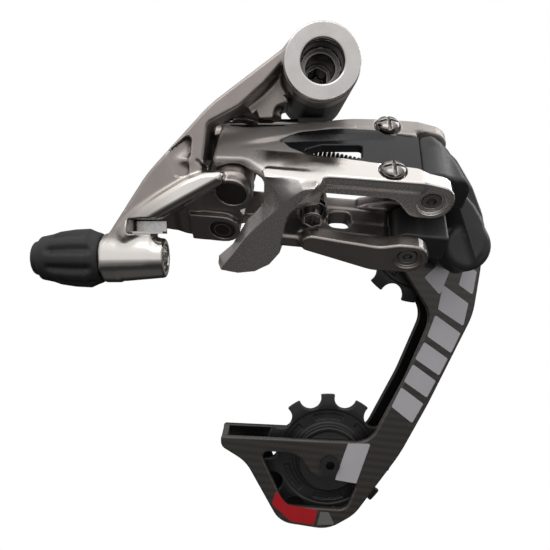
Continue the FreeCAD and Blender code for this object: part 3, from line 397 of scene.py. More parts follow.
def b_knuckle_field(x, y, z):
    u, w, v = in_linkage(x, y, z)
    hub = prism(circle(x, z, 0, 0, HUB_RADIUS), y, HUB_FRONT, HUB_BACK, 0.5)
    face = y - ARM_LEAN * (x + 10.0)
    arm = prism(flat(x, z, ARM), face, ARM_FRONT, -21.0, 0.8)
    scoop = np.maximum(flat(x, z, SCOOP), face - ARM_FRONT - 0.36 * (x + 41.0) + 0.126 * (-23.4 - z))
    arm = cut(arm, scoop, 0.3)
    arm = join(arm, prism(flat(x, z, EAR_BAND), y - 0.04 * (x + 30), -35.2, -25.0, 2.2), 1.2)
    bridge = prism(flat(x, z, BRIDGE), y, -21.5, -9.0, 0.6)
    body = join(join(hub, arm, 1.2), bridge, 1.2)
    low_ear = prism(flat(u, w, LOW_EAR), v, 0.0, A_LOW, 0.7)
    ears = np.minimum(low_ear, prism(flat(u, w, HIGH_EAR), v, A_HIGH, A_TOP, 0.6))
    ears = join(ears, prism(flat(u, w, SIDE_WALL), v, 0.0, A_TOP, 1.0), 2.0)
    rear = flat(u, w, REAR_EAR)
    ears = join(ears, prism(rear, v, -2.0, C_LOW, 0.6), 1.0)
    ears = np.minimum(ears, prism(rear, v, C_HIGH, C_TOP, 0.6))
    ears = common(ears, np.maximum(flat(x, z, ABOVE_ARM), -0.4 - face + ARM_FRONT), 1.0)
    body = join(body, ears, 1.6)
    lug = slab_box(x, y, z, (-15.0, -18.0, -15.3), (-10.4, -11.0, -5.8), 0.8)
    body = join(body, lug, 1.5)
    reach = np.hypot(y - CABLE_Y, z - CABLE_Z)
    swell = 0.35 * np.clip((-53.4 - x) / 0.8, 0, 1)
    taper = 0.95 * np.clip((x + 52.6) / 11.0, 0, 1)
    tube = prism((reach - TUBE_RADIUS + 0.35 - swell + taper) * 0.98, x, TUBE_LEFT, TUBE_RIGHT, 0.7)
    body = join(body, tube, 2.2)
    body = join(body, prism(circle(u, w, 0, 0, 4.9), v, -2.6, 1.0, 0.5), 0.8)
    body = drilled(body, (reach - 3.7, x, TUBE_RIGHT - 2.2, TUBE_RIGHT + 3, 0.1, 0.3),
                   (reach - 1.4, x, TUBE_LEFT - 2, TUBE_RIGHT + 3, 0.1, 0.2))
    notch_bottom = CABLE_Z + TUBE_RADIUS
    notch = slab_box(x, y, z, (-50.9, -40, notch_bottom), (-38, CABLE_Y + 2.7, notch_bottom + 3.8), 0.6)
    body = cut(cut(body, notch, 0.6), link_sweep(u, w, v), 0.4)
    body = drilled(body, (circle(x, z, 0, 0, 7.55), y, -FAR, 20, 0.1, 0.4),
                   (circle(x, z, 0, 0, HUB_RADIUS + 0.4), y, -FAR, HUB_FRONT, 0.02, 0.2))
    cover = np.maximum(np.abs(np.hypot(x, z) - HUB_RADIUS) - 0.95, np.abs(y + 15.5) - 9.5)
    cover = np.maximum(cover, z + 6.0)
    body = cut(body, cover, 0.1)
    for (cx, cy), _, _ in PIN_SEATS:
        body = drilled(body, (circle(u, w, cx, cy, PIN_BORE), v, -4, 32, 0.02, 0.2))
    for (cx, cy), radius, bottom in PIN_SEATS:
        seat = circle(u, w, cx, cy, radius + 0.1)
        body = drilled(body, (seat, v, bottom - 2, bottom + DISC_THICK, 0.05, 0.2))
    screw_y, screw_z = node_middle("b_adjust_screw")[1:]
    screw = np.hypot(y - screw_y, z - screw_z)
    return drilled(body, (screw - 3.0, x, -36, -24.6, 0.1, 0.2), (screw - 1.6, x, -36, 2, 0.1, 0.1))


# ---------------------------------------------------------------- outer link and its insert
FACE_OUT, FACE_IN = -7.4, -4.0
LINK_FACE = rounded([
    (-5.8, 2.6, 1.5), (-6.0, 19.2, 2.4), (2.4, 18.8, 12), (16.3, 22.2, 30), (30.6, 26.4, 30),
    (42.0, 27.4, 20), (50.0, 27.2, 3), (50.0, 0.0, 0), (26.0, -0.4, 30), (18.0, -2.6, 6), (8.4, -1.0, 4),
    (3.1, 3.4, 4),
])
INSERT_FACE = rounded([
    (11.2, 13.9, 0.6), (16.7, 17.8, 6), (26.0, 20.6, 30), (37.0, 21.5, 30), (51.8, 20.4, 1.0),
    (51.8, 5.6, 1.0), (37.6, 6.9, 30), (28.3, 7.7, 30), (19.4, 8.0, 4), (14.5, 10.4, 1.5),
])
WINDOW = rounded([
    (18.6, 10.8, 0.6), (23.0, 13.4, 3), (34.2, 14.8, 0.8), (34.2, 9.2, 0.8), (26.0, 8.1, 3), (19.4, 9.6, 0.6),
])
UPPER_FLANGE = rounded([
    (24.0, -7.4, 0), (50.0, -7.4, 4), (59.4, -5.4, 5), (59.4, 5.4, 5.2), (48.0, 5.4, 4), (42.0, -0.6, 8),
    (24.0, -1.5, 0),
])
UPPER_RIB = rounded([(4.0, -7.4, 0), (32.0, -7.4, 0), (32.0, -1.5, 0), (4.0, -3.5, 0)])
LOWER_FLANGE = rounded([
    (19.0, -7.0, 3), (50.0, -7.2, 4), (59.4, -5.4, 5), (59.4, 5.4, 5.2), (49.0, 5.4, 4), (44.0, -0.6, 5),
    (24.0, -0.6, 1), (20.0, 0.5, 1),
])
FIN_LOW = [
    (23.7, -8.0), (19.1, -6.5), (16.7, -3.8), (13.9, 0.0), (9.2, 6.0), (3.8, 13.7), (-4.4, 29.2),
    (0.9, 30.0), (6.3, 28.4), (10.8, 24.4), (13.8, 18.8), (14.1, 14.3), (14.7, 8.8), (15.5, 4.1),
    (17.4, -0.5), (20.7, -5.0),
]
FIN_HIGH = [
    (24.0, -7.2), (9.0, -7.0), (8.8, 1.8), (6.1, 6.2), (4.1, 8.8), (-0.8, 20.2), (-5.5, 26.0),
    (-6.0, 30.5), (0.9, 31.0), (6.8, 29.0), (11.4, 24.8), (14.4, 19.0), (14.7, 14.0), (15.4, 9.0),
    (17.0, 4.0), (24.0, 1.0),
]
FIN_BOTTOM, FIN_TOP = -5.8, -2.3
TOP_EDGE = rounded([
    (-12.0, 19.1, 0), (-4.0, 19.1, 0), (2.4, 18.9, 12), (16.3, 22.3, 30), (30.6, 26.5, 30), (42.0, 27.6, 0),
    (64.0, 27.6, 0), (64.0, -20.0, 0), (-12.0, -20.0, 0),
])
SCREW_PLACES = ((41.4, 23.9), (42.2, 4.0))


def outer_link_field(u, w, v):
    plan = flat(u, v, LINK_FACE)
    bow = 0.022 * (v - 14.0) ** 2 * np.clip((v - 14.0) / 6, 0, 1) * 0.35
    face = prism(plan, w - bow, FACE_OUT, FACE_IN, 1.5)
    boss = prism(circle(u, w, 0, 0, 4.9), v, A_LOW + EAR_GAP, A_HIGH - EAR_GAP, 0.5)
    neck = slab_box(u, w, v, (-2.2, -5.6, A_LOW + EAR_GAP), (2.2, 0, 15.5), 0.3)
    upper = join(prism(flat(u, w, UPPER_FLANGE), v, B_HIGH, B_TOP, 1.0),
                 prism(flat(u, w, UPPER_RIB), v, 20.7, 23.2, 0.4), 1.0)
    lower = prism(flat(u, w, LOWER_FLANGE), v, 0.0, B_LOW - EAR_GAP, 0.7)
    lean = np.clip((v - FIN_BOTTOM) / (FIN_TOP - FIN_BOTTOM), 0, 1)
    fin_plan = flat(u, w, FIN_LOW) * (1 - lean) + flat(u, w, FIN_HIGH) * lean
    rise = 2.6 * np.clip((u - 6.5) / 3.0, 0, 1) * np.clip((3.0 - w) / 2.0, 0, 1)
    fin = prism(fin_plan * 0.8, v - rise * lean, FIN_BOTTOM, FIN_TOP, 0.3)
    band = prism(plan, w, FACE_OUT, 0.0, 1.8)
    band = common(band, v - 7.6, 1.0)
    body = join(join(face, boss, 1.0), neck, 1.0)
    body = join(join(body, lower, 2.0), upper, 1.2)
    body = join(body, fin, 1.6)
    body = common(body, flat(u, v, TOP_EDGE), 1.6)
    body = drilled(body, (flat(u, v, INSERT_FACE), w, FACE_OUT - 3, 0.6, 0.2, 0.7))
    across = np.clip((8.9 + 0.40 * u - v) / 2.3, -1, 1)
    along = np.clip((u + 1.0) / 8.0, 0, 1) * np.clip((15.0 - u) / 3.0, 0, 1)
    groove = (0.5 + 0.5 * np.cos(math.pi * across)) * along
    body = common(body, FACE_OUT + 0.8 * groove - 0.02 - w, 0.4)
    near, far = np.hypot(u, w), np.hypot(u - LINK, w)
    body = drilled(body, (near - 5.8, v, -5, A_LOW + 0.15, 0.05, 0.4),
                   (near - BUSH_BORE, v, -5, 40, 0.05, 0.2),
                   (far - PIN_BORE, v, -5, 40, 0.05, 0.2),
                   (far - 3.9, v, -2, 1.2, 0.3, 0.5),
                   (far - 6.6, v, B_LOW - EAR_GAP, B_HIGH + EAR_GAP, 0.1, 0.4))
    for cu, cv in SCREW_PLACES:
        spot = np.hypot(u - cu, v - cv)
        body = drilled(body, (spot - 3.75, w, -14, -6.2, 0.1, 0.4), (spot - 1.55, w, -14, 8, 0.05, 0.1))
    return body


def insert_field(u, w, v):
    plan = flat(u, v, INSERT_FACE) + 0.12
    lift = 0.9 * np.clip((v - 13.0 - 0.18 * (u - 12)) / 2.2, 0, 1)
    lift = lift * np.clip((44.0 - u) / 5, 0, 1)
    body = prism(plan, w, FACE_OUT + 0.9 - lift, FACE_OUT + 3.6, 0.45)
    body = drilled(body, (flat(u, v, WINDOW), w, -14, 4, 0.1, 0.5))
    for cu, cv in SCREW_PLACES:
        body = drilled(body, (circle(u, v, cu, cv, 3.9), w, -14, 4, 0.1, 0.3))
    return drilled(body, (circle(u, w, LINK, 0, 6.8), v, -5, 40, 0.1, 0.3))


# ---------------------------------------------------------------- inner link
LOW_ARM = rounded([
    (20.0, 9.0, 3), (32.0, 10.4, 20), (42.0, 11.4, 8), (47.0, 9.8, 4), (56.0, 9.5, 5.2), (56.0, 20.5, 5.2),
    (41.0, 21.4, 12), (28.6, 17.6, 12), (20.0, 15.0, 2),
])
HIGH_ARM = rounded([
    (36.0, 12.6, 0), (44.0, 9.6, 3), (56.0, 9.6, 5.2), (56.0, 20.4, 5.2), (44.0, 20.4, 3), (36.0, 17.4, 0),
])
ANCHOR = (22.5, 7.6)
ANCHOR_RADIUS = 3.6
WEB_WINDOW = rounded([(27.0, 1.2, 2.2), (27.4, 7.0, 2.2), (33.6, 7.6, 2.2), (33.8, 1.0, 2.2)])


def inner_link_field(u, w, v):
    boss = prism(circle(u, w, *PIN_C, 5.0), v, C_LOW + EAR_GAP, C_HIGH - EAR_GAP, 0.6)
    web = slab_box(u, w, v, (-1.0, 12.6, C_LOW + EAR_GAP), (44.6, 17.4, C_HIGH - EAR_GAP), 1.2)
    low_web = slab_box(u, w, v, (8.6, 12.6, -4.6), (44.6, 17.4, 9.6), 1.6)
    low = prism(flat(u, w, LOW_ARM), v, D_BOTTOM, D_LOW - EAR_GAP, 0.9)
    high = prism(flat(u, w, HIGH_ARM), v, D_HIGH, D_TOP, 0.9)
    lug = prism(circle(u, w, *ANCHOR, ANCHOR_RADIUS), v, 3.5, 8.0, 0.4)
    reach = slab_box(u, w, v, (ANCHOR[0] - ANCHOR_RADIUS, ANCHOR[1], 3.5),
                     (ANCHOR[0] + ANCHOR_RADIUS, 13.6, 8.0), 0.4)
    body = join(join(boss, web, 1.2), low_web, 1.0)
    body = join(join(body, low, 2.2), high, 1.5)
    body = join(body, join(lug, reach, 0.5), 1.4)
    body = drilled(body, (flat(u, v, WEB_WINDOW), w, 5, 25, 0.1, 0.8),
                   (circle(u, w, *PIN_C, BUSH_BORE), v, -10, 30, 0.05, 0.2))
    far = np.hypot(u - PIN_D[0], w - PIN_D[1])
    return drilled(body, (far - PIN_BORE, v, -12, 30, 0.05, 0.2),
                   (far - 3.7, v, -12, D_BOTTOM + 1.2, 0.4, 0.6),
                   (far - 5.2, v, D_LOW - EAR_GAP, D_HIGH, 0.1, 0.4),
                   (circle(u, w, *ANCHOR, 2.55), v, -4, 12, 0.05, 0.2))


# ---------------------------------------------------------------- P-knuckle
UPPER_SHELL = rounded([
    (32.3, -17.6, 0.8), (33.0, -15.9, 0.8), (36.0, -15.5, 1.5), (38.4, -17.4, 3), (42.8, -24.0, 10),
    (44.9, -28.0, 10), (46.4, -32.2, 0.8), (41.4, -29.9, 6), (33.2, -25.6, 1),
])
LOWER_SHELL = rounded([
    (42.0, -29.8, 0.8), (46.2, -31.9, 2), (50.1, -36.2, 8), (52.9, -41.0, 8), (54.4, -46.4, 5),
    (53.4, -50.8, 5), (49.3, -55.8, 5), (44.4, -58.0, 3.5), (40.0, -55.0, 2), (38.6, -51.3, 2),
    (40.8, -46.9, 1), (40.5, -36.0, 1),
])
BACK_LAYER = rounded([
    (34.1, -15.9, 1), (38.0, -16.9, 3), (43.9, -21.9, 8), (49.3, -30.6, 12), (52.7, -39.1, 10),
    (53.6, -45.0, 3), (50.0, -52.0, 3), (44.0, -52.0, 2), (42.0, -38.0, 2), (38.0, -28.0, 3),
])
DRAFT_POINT = (-14.1, -165.0, -45.4)   # far outboard point that the knuckle's drafted sides lean towards
DRAFT_LEVEL = 155.0                    # the outlines are true this far inboard of it
SPRING_ARM = rounded([(57.0, 2.0, 2), (47.0, 3.0, 2), (42.6, 4.8, 2), (42.8, 9.0, 2), (56.0, 8.0, 2)])


def drafted(x, y, z, outline):
    """Plan distance to an outline that gets larger towards the wheel."""
    spread = (y - DRAFT_POINT[1]) / DRAFT_LEVEL
    px = DRAFT_POINT[0] + (x - DRAFT_POINT[0]) / spread
    pz = DRAFT_POINT[2] + (z - DRAFT_POINT[2]) / spread
    return flat(px, pz, outline) * spread


def knuckle_space(u, w, v):
    """Space beside the P-knuckle that the ears of both links turn in."""
    space = prism(circle(u, w, LINK, 0, 6.6), v, -3, B_LOW, 0.05)
    space = np.minimum(space, prism(circle(u, w, LINK, 0, 8.0), v, B_HIGH, 34, 0.05))
    space = np.minimum(space, prism(circle(u, w, *PIN_D, 6.6), v, -14, D_LOW, 0.05))
    space = np.minimum(space, prism(circle(u, w, *PIN_D, 6.6), v, D_HIGH, D_TOP + 0.4, 0.05))
    for angle in SWING_STEPS:
        p, q = turned(u, w, LINK, 0, angle)
        arm = slab_box(p, q, v, (-34.6, -8.2, -8.2), (-3.3, 1.5, 32.0), 0.1)
        space = np.minimum(space, cut(arm, circle(p, q, 0, 0, 6.9)))
        p, q = turned(u, w, *PIN_D, angle)
        space = np.minimum(space, slab_box(p, q, v, (-35.3, -3.6, D_BOTTOM - 0.7), (-5.1, 4.8, D_TOP), 0.1))
    return space


def p_knuckle_field(x, y, z):
    u, w, v = in_linkage(x, y, z)
    drum = prism(circle(x, z, CAGE_X, CAGE_Z, DRUM_RADIUS), y, KNUCKLE_FRONT, KNUCKLE_BACK, 2.5)
    upper_plan, lower_plan = drafted(x, y, z, UPPER_SHELL), drafted(x, y, z, LOWER_SHELL)
    back_plan = drafted(x, y, z, BACK_LAYER)
    outside = np.minimum(np.minimum(upper_plan, lower_plan), back_plan)
    upper = prism(upper_plan, y - 0.10 * (x - 39) + 0.12 * (z + 24), -22.6, -8.0, 1.3)
    ridge = (x - 42.6) * 0.944 + (z + 37.6) * 0.33
    set_back = 0.20 * np.maximum(ridge, 0) + 0.9 * np.maximum(-ridge, 0)
    lower = prism(lower_plan, y - set_back, -18.0, -3.5, 1.0)
    back = prism(back_plan, y, -9.5, -1.0, 0.7)
    body = join(join(drum, lower, 1.0), join(upper, back, 0.4), 0.4)
    horn = prism(circle(u, w, LINK, 0, 6.2), v, B_LOW, B_HIGH, 0.8)
    horn = common(horn, np.minimum(outside - 0.2, circle(u, w, LINK, 0, 4.5)), 0.6)
    horn_web = slab_box(u, w, v, (LINK + 1.5, -5.0, B_LOW), (LINK + 10.5, 6.0, B_HIGH), 1.2)
    horn_web = common(horn_web, outside + 0.4, 0.8)
    boss_low, boss_high = D_LOW + EAR_GAP, D_HIGH - EAR_GAP
    low_boss = prism(circle(u, w, *PIN_D, 4.8), v, boss_low, boss_high, 0.5)
    low_web = slab_box(u, w, v, (PIN_D[0] + 1, PIN_D[1] - 4.5, boss_low),
                       (PIN_D[0] + 11, PIN_D[1] + 4.5, boss_high), 0.8)
    body = join(body, join(horn, horn_web, 1.5), 2.0)
    body = join(body, join(low_boss, low_web, 1.5), 1.5)
    body = cut(body, knuckle_space(u, w, v), 0.4)
    body = join(body, prism(flat(u, w, SPRING_ARM), v, 16.3, 19.3, 0.4), 0.6)
    return drilled(body, (circle(u, w, LINK, 0, BUSH_BORE), v, -5, 40, 0.05, 0.2),
                   (circle(u, w, *PIN_D, BUSH_BORE), v, -12, 20, 0.05, 0.2),
                   (circle(u, w, 44.6, 7.2, 1.25), v, 10, 30, 0.05, 0.1),
                   (circle(x, z, CAGE_X, CAGE_Z, SPRING_WELL), y, KNUCKLE_FRONT + 4.6, 10, 0.1, 0.3))


# ---------------------------------------------------------------- small turned parts
def bolt_field(x, y, z):
    r = np.hypot(x, z)
    back = node_box("mounting_bolt")[1][1]
    flange = prism(r - BOLT_RADIUS, y, BOLT_FRONT, HUB_FRONT, 0.35)
    sleeve = prism(r - 6.5, y, HUB_FRONT - 0.2, -0.2, 0.1)
    thread = prism(r - 5.0 + 0.16 * (1 + np.cos(2 * math.pi * y / 1.0)), y, -0.4, back, 0.4)
    body = np.minimum(np.minimum(flange, sleeve), thread)
    return drilled(body, (r - 5.7, y, BOLT_FRONT - 2, BOLT_FRONT + 6.5, 0.1, 0.8),
                   (r - 4.0, y, BOLT_FRONT - 2, BOLT_FRONT + 15, 0.1, 0.3),
                   (hexagon(x, z, 0, 0, 5.0), y, BOLT_FRONT, BOLT_FRONT + 22, 0.1, 0.2),
                   (r - 2.3, y, BOLT_FRONT, back + 2, 0.1, 0.2),
                   (np.abs(r - 6.75) - 0.85, y, -1.8, -0.8, 0.05, 0.1))


def limit_screw_field(place_uv):
    cu, cv = place_uv

    def field(u, w, v):
        r = np.hypot(u - cu, v - cv)
        top = -9.3
        dome = np.sqrt(r ** 2 + (w - top - 5.2) ** 2) - 5.2
        head = common(prism(r - 3.3, w, top - 0.6, -6.4, 0.4), dome, 0.5)
        shank = prism(r - 1.5, w, -6.6, 1.2, 0.2)
        body = np.minimum(head, shank)
        p, q = turned(u, v, cu, cv, math.radians(8))
        slot = np.maximum(np.abs(p) - 0.42, np.abs(q) - 3.6)
        cross = np.maximum(np.abs(q) - 0.42, np.abs(p) - 3.6)
        recess = np.maximum(np.minimum(slot, cross), w - top - 1.25)
        return cut(body, recess, 0.25)
    return field


def anchor_field(u, w, v):
    r = np.hypot(u - ANCHOR[0], w - ANCHOR[1])
    cone = prism((r - 3.0 - (v + 2.4) * 0.32) * 0.95, v, -2.4, 0.4, 0.25)
    cone = np.minimum(cone, prism(r - 4.2, v, 0.9, 3.0, 0.3))
    shank = prism(r - 2.5, v, 1.0, 9.6, 0.2)
    body = np.minimum(cone, shank)
    return cut(body, prism(hexagon(u, w, *ANCHOR, 4.0), v, -4, 0.2, 0.05), 0.3)


BARREL_LOBES = 9


def barrel_field(x, y, z):
    left, right = BARREL_LOW[0], BARREL_HIGH[0]
    dy, dz = y - CABLE_Y, z - CABLE_Z
    r, turn = np.hypot(dy, dz), np.arctan2(dz, dy)
    along = x - left
    size = np.interp(along, [0, 1.9, 2.1, 5, 7, 11, 15, 16.6, 18.2, 19],
                     [4.5, 4.8, 5.9, 6.5, 7.2, 7.8, 8.0, 7.2, 6.5, 6.4])
    lobes = 0.5 + 0.5 * np.cos(BARREL_LOBES * turn)
    depth = 0.95 * np.clip((along - 4.2) / 2.0, 0, 1) * np.clip((17.2 - along) / 1.6, 0, 1)
    body = prism((r - size + depth * lobes ** 2) * 0.8, x, left, right, 0.4)
    return cut(body, prism(r - 3.42, x, left - 2, right + 2, 0.05), 0.3)


TEETH = 11
TIP_RADIUS = 23.3


def wheel_field(cx, cz, turn):
    pitch_radius = 12.7 / (2 * math.sin(math.pi / TEETH))

    def field(x, y, z):
        r = np.hypot(x - cx, z - cz)
        angle = np.arctan2(x - cx, z - cz) + turn
        part = 2 * math.pi / TEETH
        folded = np.abs((angle + part) % part - part / 2)
        px, py = r * np.sin(folded), r * np.cos(folded)
        valley = np.hypot(px, py - pitch_radius) - 3.95
        mouth = np.maximum(px - 3.95 - 0.25 * np.maximum(py - pitch_radius, 0), pitch_radius - py)
        plan = cut(r - TIP_RADIUS, np.minimum(valley, mouth), 0.5)
        middle = y - WHEEL_Y
        half = 1.2 - 0.16 * np.clip(r - 19.5, 0, 4)
        rim = prism(plan, middle / 1.0, -1.2, 1.2, 0.3)
        rim = common(rim, np.abs(middle) - half, 0.3)
        dish = prism(np.abs(r - 15.4) - 2.3, np.abs(middle), 0.85, 3.0, 0.3)
        rim = cut(rim, dish, 0.5)
        hub = prism(r - 11.6, middle, -2.5, 2.5, 0.5)
        body = join(rim, hub, 0.6)
        sixth = np.abs((angle + math.pi / 6) % (math.pi / 3) - math.pi / 6)
        groove = np.maximum(np.abs(r - 15.3) - 0.95, (sixth - 0.34) * 15)
        body = cut(body, np.maximum(groove, 0.35 - np.abs(middle)), 0.3)
        return cut(body, prism(r - 8.8, middle, -4, 4, 0.05), 0.2)
    return field


# ---------------------------------------------------------------- plates and panels
def plate(name, outlines, front, thick, bevel, resolution=3):
    """Flat plate in the (x, z) plane with rounded edges; the first outline is its outside."""
    curve = bpy.data.curves.new(name, "CURVE")
    curve.dimensions = "2D"
    curve.fill_mode = "BOTH"
    curve.extrude = max(thick / 2 - bevel, 0.001) / MM
    curve.bevel_depth = bevel / MM
    curve.bevel_resolution = resolution
    curve.offset = -bevel / MM
    for points in outlines:
        spline = curve.splines.new("POLY")
        spline.points.add(len(points) - 1)
        for point, (x, z) in zip(spline.points, points):
            point.co = (x / MM, z / MM, 0, 1)
        spline.use_cyclic_u = True
    holder = bpy.data.objects.new(name + "_curve", curve)
    bpy.context.scene.collection.objects.link(holder)
    mesh = bpy.data.meshes.new_from_object(holder.evaluated_get(bpy.context.evaluated_depsgraph_get()))
    bpy.data.objects.remove(holder)
    mesh.name = name
    turn = Matrix.Rotation(math.radians(90), 4, "X")
    mesh.transform(Matrix.Translation((0, (front + thick / 2) / MM, 0)) @ turn)
    thing = bpy.data.objects.new(name, mesh)
    bpy.context.scene.collection.objects.link(thing)
    if bevel > 0.1:
        mesh.polygons.foreach_set("use_smooth", [True] * len(mesh.polygons))
        sharp = thing.modifiers.new("weighted", "WEIGHTED_NORMAL")
        sharp.keep_sharp = True
    return thing


def arc_points(cx, cz, radius, count=40):
    turns = [2 * math.pi * i / count for i in range(count)]
    return [np.array([cx + radius * math.cos(t), cz + radius * math.sin(t)]) for t in turns]


CAGE_OUTLINE = rounded([
    (60.2, -45.0, 11), (59.0, -58.0, 30), (57.0, -73.0, 25), (41.9, -105.1, 60), (32.4, -123.2, 60),
    (16.5, -145.5, 14), (7.0, -151.0, 12), (-10.5, -148.0, 9), (-22.5, -125.5, 14), (-31.2, -119.8, 3),
    (-31.2, -116.0, 1), (21.5, -118.8, 8), (33.6, -95.3, 60), (42.5, -73.5, 9), (31.0, -56.0, 10),
    (31.5, -36.5, 9), (48.0, -34.0, 12), (60.0, -34.5, 10),
], 8)
CAGE_WINDOW = rounded([
    (-17.5, -121.6, 2), (-4.0, -122.6, 8), (1.5, -131.0, 5), (17.5, -133.0, 2), (13.5, -143.5, 4),
    (-8.5, -141.8, 5),
], 8)
INNER_WINDOW = rounded([
    (-15.5, -122.0, 2), (-4.0, -122.6, 6), (0.0, -132.0, 5), (14.5, -134.5, 2), (11.5, -142.5, 4),
    (-7.0, -141.0, 5),
], 8)
INNER_SLOT = rounded([
    (52.0, -62.0, 2), (50.5, -76.0, 10), (43.5, -91.0, 1.2), (45.0, -76.0, 10), (46.0, -62.0, 2),
])


def joined(name, parts):
    """One mesh object from several."""
    bpy.ops.object.select_all(action="DESELECT")
    for part in parts:
        part.select_set(True)
    bpy.context.view_layer.objects.active = parts[0]
    bpy.ops.object.join()
    parts[0].name = name
    return parts[0]


def block(name, low, high, soft):
    """Box with rounded edges."""
    centre, half = (np.array(low) + high) / 2, (np.array(high, float) - low) / 2
    ring = ((-1, -1), (1, -1), (1, 1), (-1, 1))
    corners = [centre + half * np.array((*side, level)) for level in (-1, 1) for side in ring]
    faces = [(3, 2, 1, 0), (4, 5, 6, 7), (0, 1, 5, 4), (1, 2, 6, 5), (2, 3, 7, 6), (3, 0, 4, 7)]
    thing = mesh_object(name, np.array(corners) / MM, faces)
    bevel = thing.modifiers.new("edges", "BEVEL")
    bevel.width, bevel.segments = soft / MM, 3
    bpy.context.view_layer.objects.active = thing
    with bpy.context.temp_override(object=thing, active_object=thing):
        bpy.ops.object.modifier_apply(modifier="edges")
    return thing


def coil(name, start, end, radius, wire, turns):
    """Close-wound extension spring, in linkage coordinates."""
    start, end = np.array(start, float), np.array(end, float)
    along = unit(end - start)
    side = unit(np.cross(along, (0, 0, 1)))
    up = np.cross(side, along)
    per_turn, rim = 20, 8
    length = np.linalg.norm(end - start)
    steps = int(per_turn * turns)
    path = []
    for i in range(steps + 1):
        angle = 2 * math.pi * i / per_turn
        ring = side * math.cos(angle) + up * math.sin(angle)
        path.append(start + along * length * i / steps + ring * radius)
    path = np.array(path)
    tangent = np.gradient(path, axis=0)
    tangent /= np.linalg.norm(tangent, axis=1)[:, None]
    first = np.cross(tangent, along)
    first /= np.linalg.norm(first, axis=1)[:, None]
    second = np.cross(tangent, first)
    points = []
    for j in range(rim):
        angle = 2 * math.pi * j / rim
        points.append(path + wire * (first * math.cos(angle) + second * math.sin(angle)))
    points = np.stack(points, 1).reshape(-1, 3)
    faces = []
    for i in range(steps):
        for j in range(rim):
            k = (j + 1) % rim
            faces.append((i * rim + j, i * rim + k, (i + 1) * rim + k, (i + 1) * rim + j))
    faces.append(tuple(range(rim))[::-1])
    faces.append(tuple(steps * rim + j for j in range(rim)))
    origin, rows = LINK_FRAME
    return mesh_object(name, (origin + points @ rows) / MM, faces)


# ---------------------------------------------------------------- materials
class Look:
    """A procedural material built up node by node."""

    def __init__(self, name):
        self.material = bpy.data.materials.new(name)
        self.material.use_nodes = True
        self.tree = self.material.node_tree
        self.shader = self.tree.nodes["Principled BSDF"]
        self.coords = self.tree.nodes.new("ShaderNodeTexCoord").outputs["Object"]

    def node(self, kind, **settings):
        made = self.tree.nodes.new(kind)
        for key, value in settings.items():
            setattr(made, key, value)
        return made

    def wire(self, source, target):
        self.tree.links.new(source, target)

    def math(self, operation, a, b=None):
        made = self.node("ShaderNodeMath", operation=operation)
        for socket, value in zip(made.inputs, (a, b)):
            if value is None:
                continue
            if isinstance(value, (int, float)):
                socket.default_value = value
            else:
                self.wire(value, socket)
        return made.outputs[0]

    def noise(self, scale, detail):
        made = self.node("ShaderNodeTexNoise")
        made.inputs["Scale"].default_value = scale
        made.inputs["Detail"].default_value = detail
        self.wire(self.coords, made.inputs["Vector"])
        return made.outputs["Fac"]

    def ramp(self, factor, low, high, low_value=0.0, high_value=1.0):
        made = self.node("ShaderNodeMapRange")
        values = {"From Min": low, "From Max": high, "To Min": low_value, "To Max": high_value}
        for key, value in values.items():
            made.inputs[key].default_value = value
        self.wire(factor, made.inputs["Value"])
        return made.outputs["Result"]

    def blend(self, factor, first, second):
        made = self.node("ShaderNodeMix", data_type="RGBA")
        for key, value in {"Factor": factor, "A": first, "B": second}.items():
            socket = made.inputs[key]
            if isinstance(value, tuple) or (hasattr(value, "type") and value.type == "RGBA"):
                socket = [s for s in made.inputs if s.name == key and s.type == "RGBA"][0]
            if isinstance(value, tuple):
                socket.default_value = (*value, 1)
            elif isinstance(value, (int, float)):
                socket.default_value = value
            else:
                self.wire(value, socket)
        return [s for s in made.outputs if s.type == "RGBA"][0]

    def bump(self, height, strength, distance=0.0001):
        made = self.node("ShaderNodeBump")
        made.inputs["Strength"].default_value = strength
        made.inputs["Distance"].default_value = distance
        self.wire(height, made.inputs["Height"])
        self.wire(made.outputs["Normal"], self.shader.inputs["Normal"])

    def worn(self, base, edge, share):
        """The base colour with some of the edge's colour on outward edges."""
        point = self.node("ShaderNodeNewGeometry").outputs["Pointiness"]
        return self.blend(self.math("MULTIPLY", self.ramp(point, 0.515, 0.56), share), base, edge)

    def surface(self, **values):
        """Set or wire the shader's inputs, such as base_color or coat_weight."""
        for key, value in values.items():
            socket = self.shader.inputs[key.replace("_", " ").title()]
            if isinstance(value, (int, float)):
                socket.default_value = value
            else:
                self.wire(value, socket)


def shade(colour, amount):
    return tuple(min(1.0, c * amount) for c in colour)


def solid_look(name, colour, metallic, rough, vary=0.12, grain=900.0, bump=0.05, edge=None, edge_share=0.5,
               coat=0.0):
    """Plain finish: cloudy colour, uneven roughness, fine grain and worn edges."""
    look = Look(name)
    clouds = look.noise(90.0, 3)
    fine = look.noise(grain, 5)
    base = look.blend(look.ramp(clouds, 0.35, 0.65), shade(colour, 1 - vary), shade(colour, 1 + vary))
    if edge is not None:
        base = look.worn(base, edge, edge_share)
    look.surface(base_color=base, metallic=metallic, coat_weight=coat, coat_roughness=0.06,
                 roughness=look.ramp(fine, 0.25, 0.75, rough * 0.82, rough * 1.2))
    look.bump(fine, bump)
    return look.material


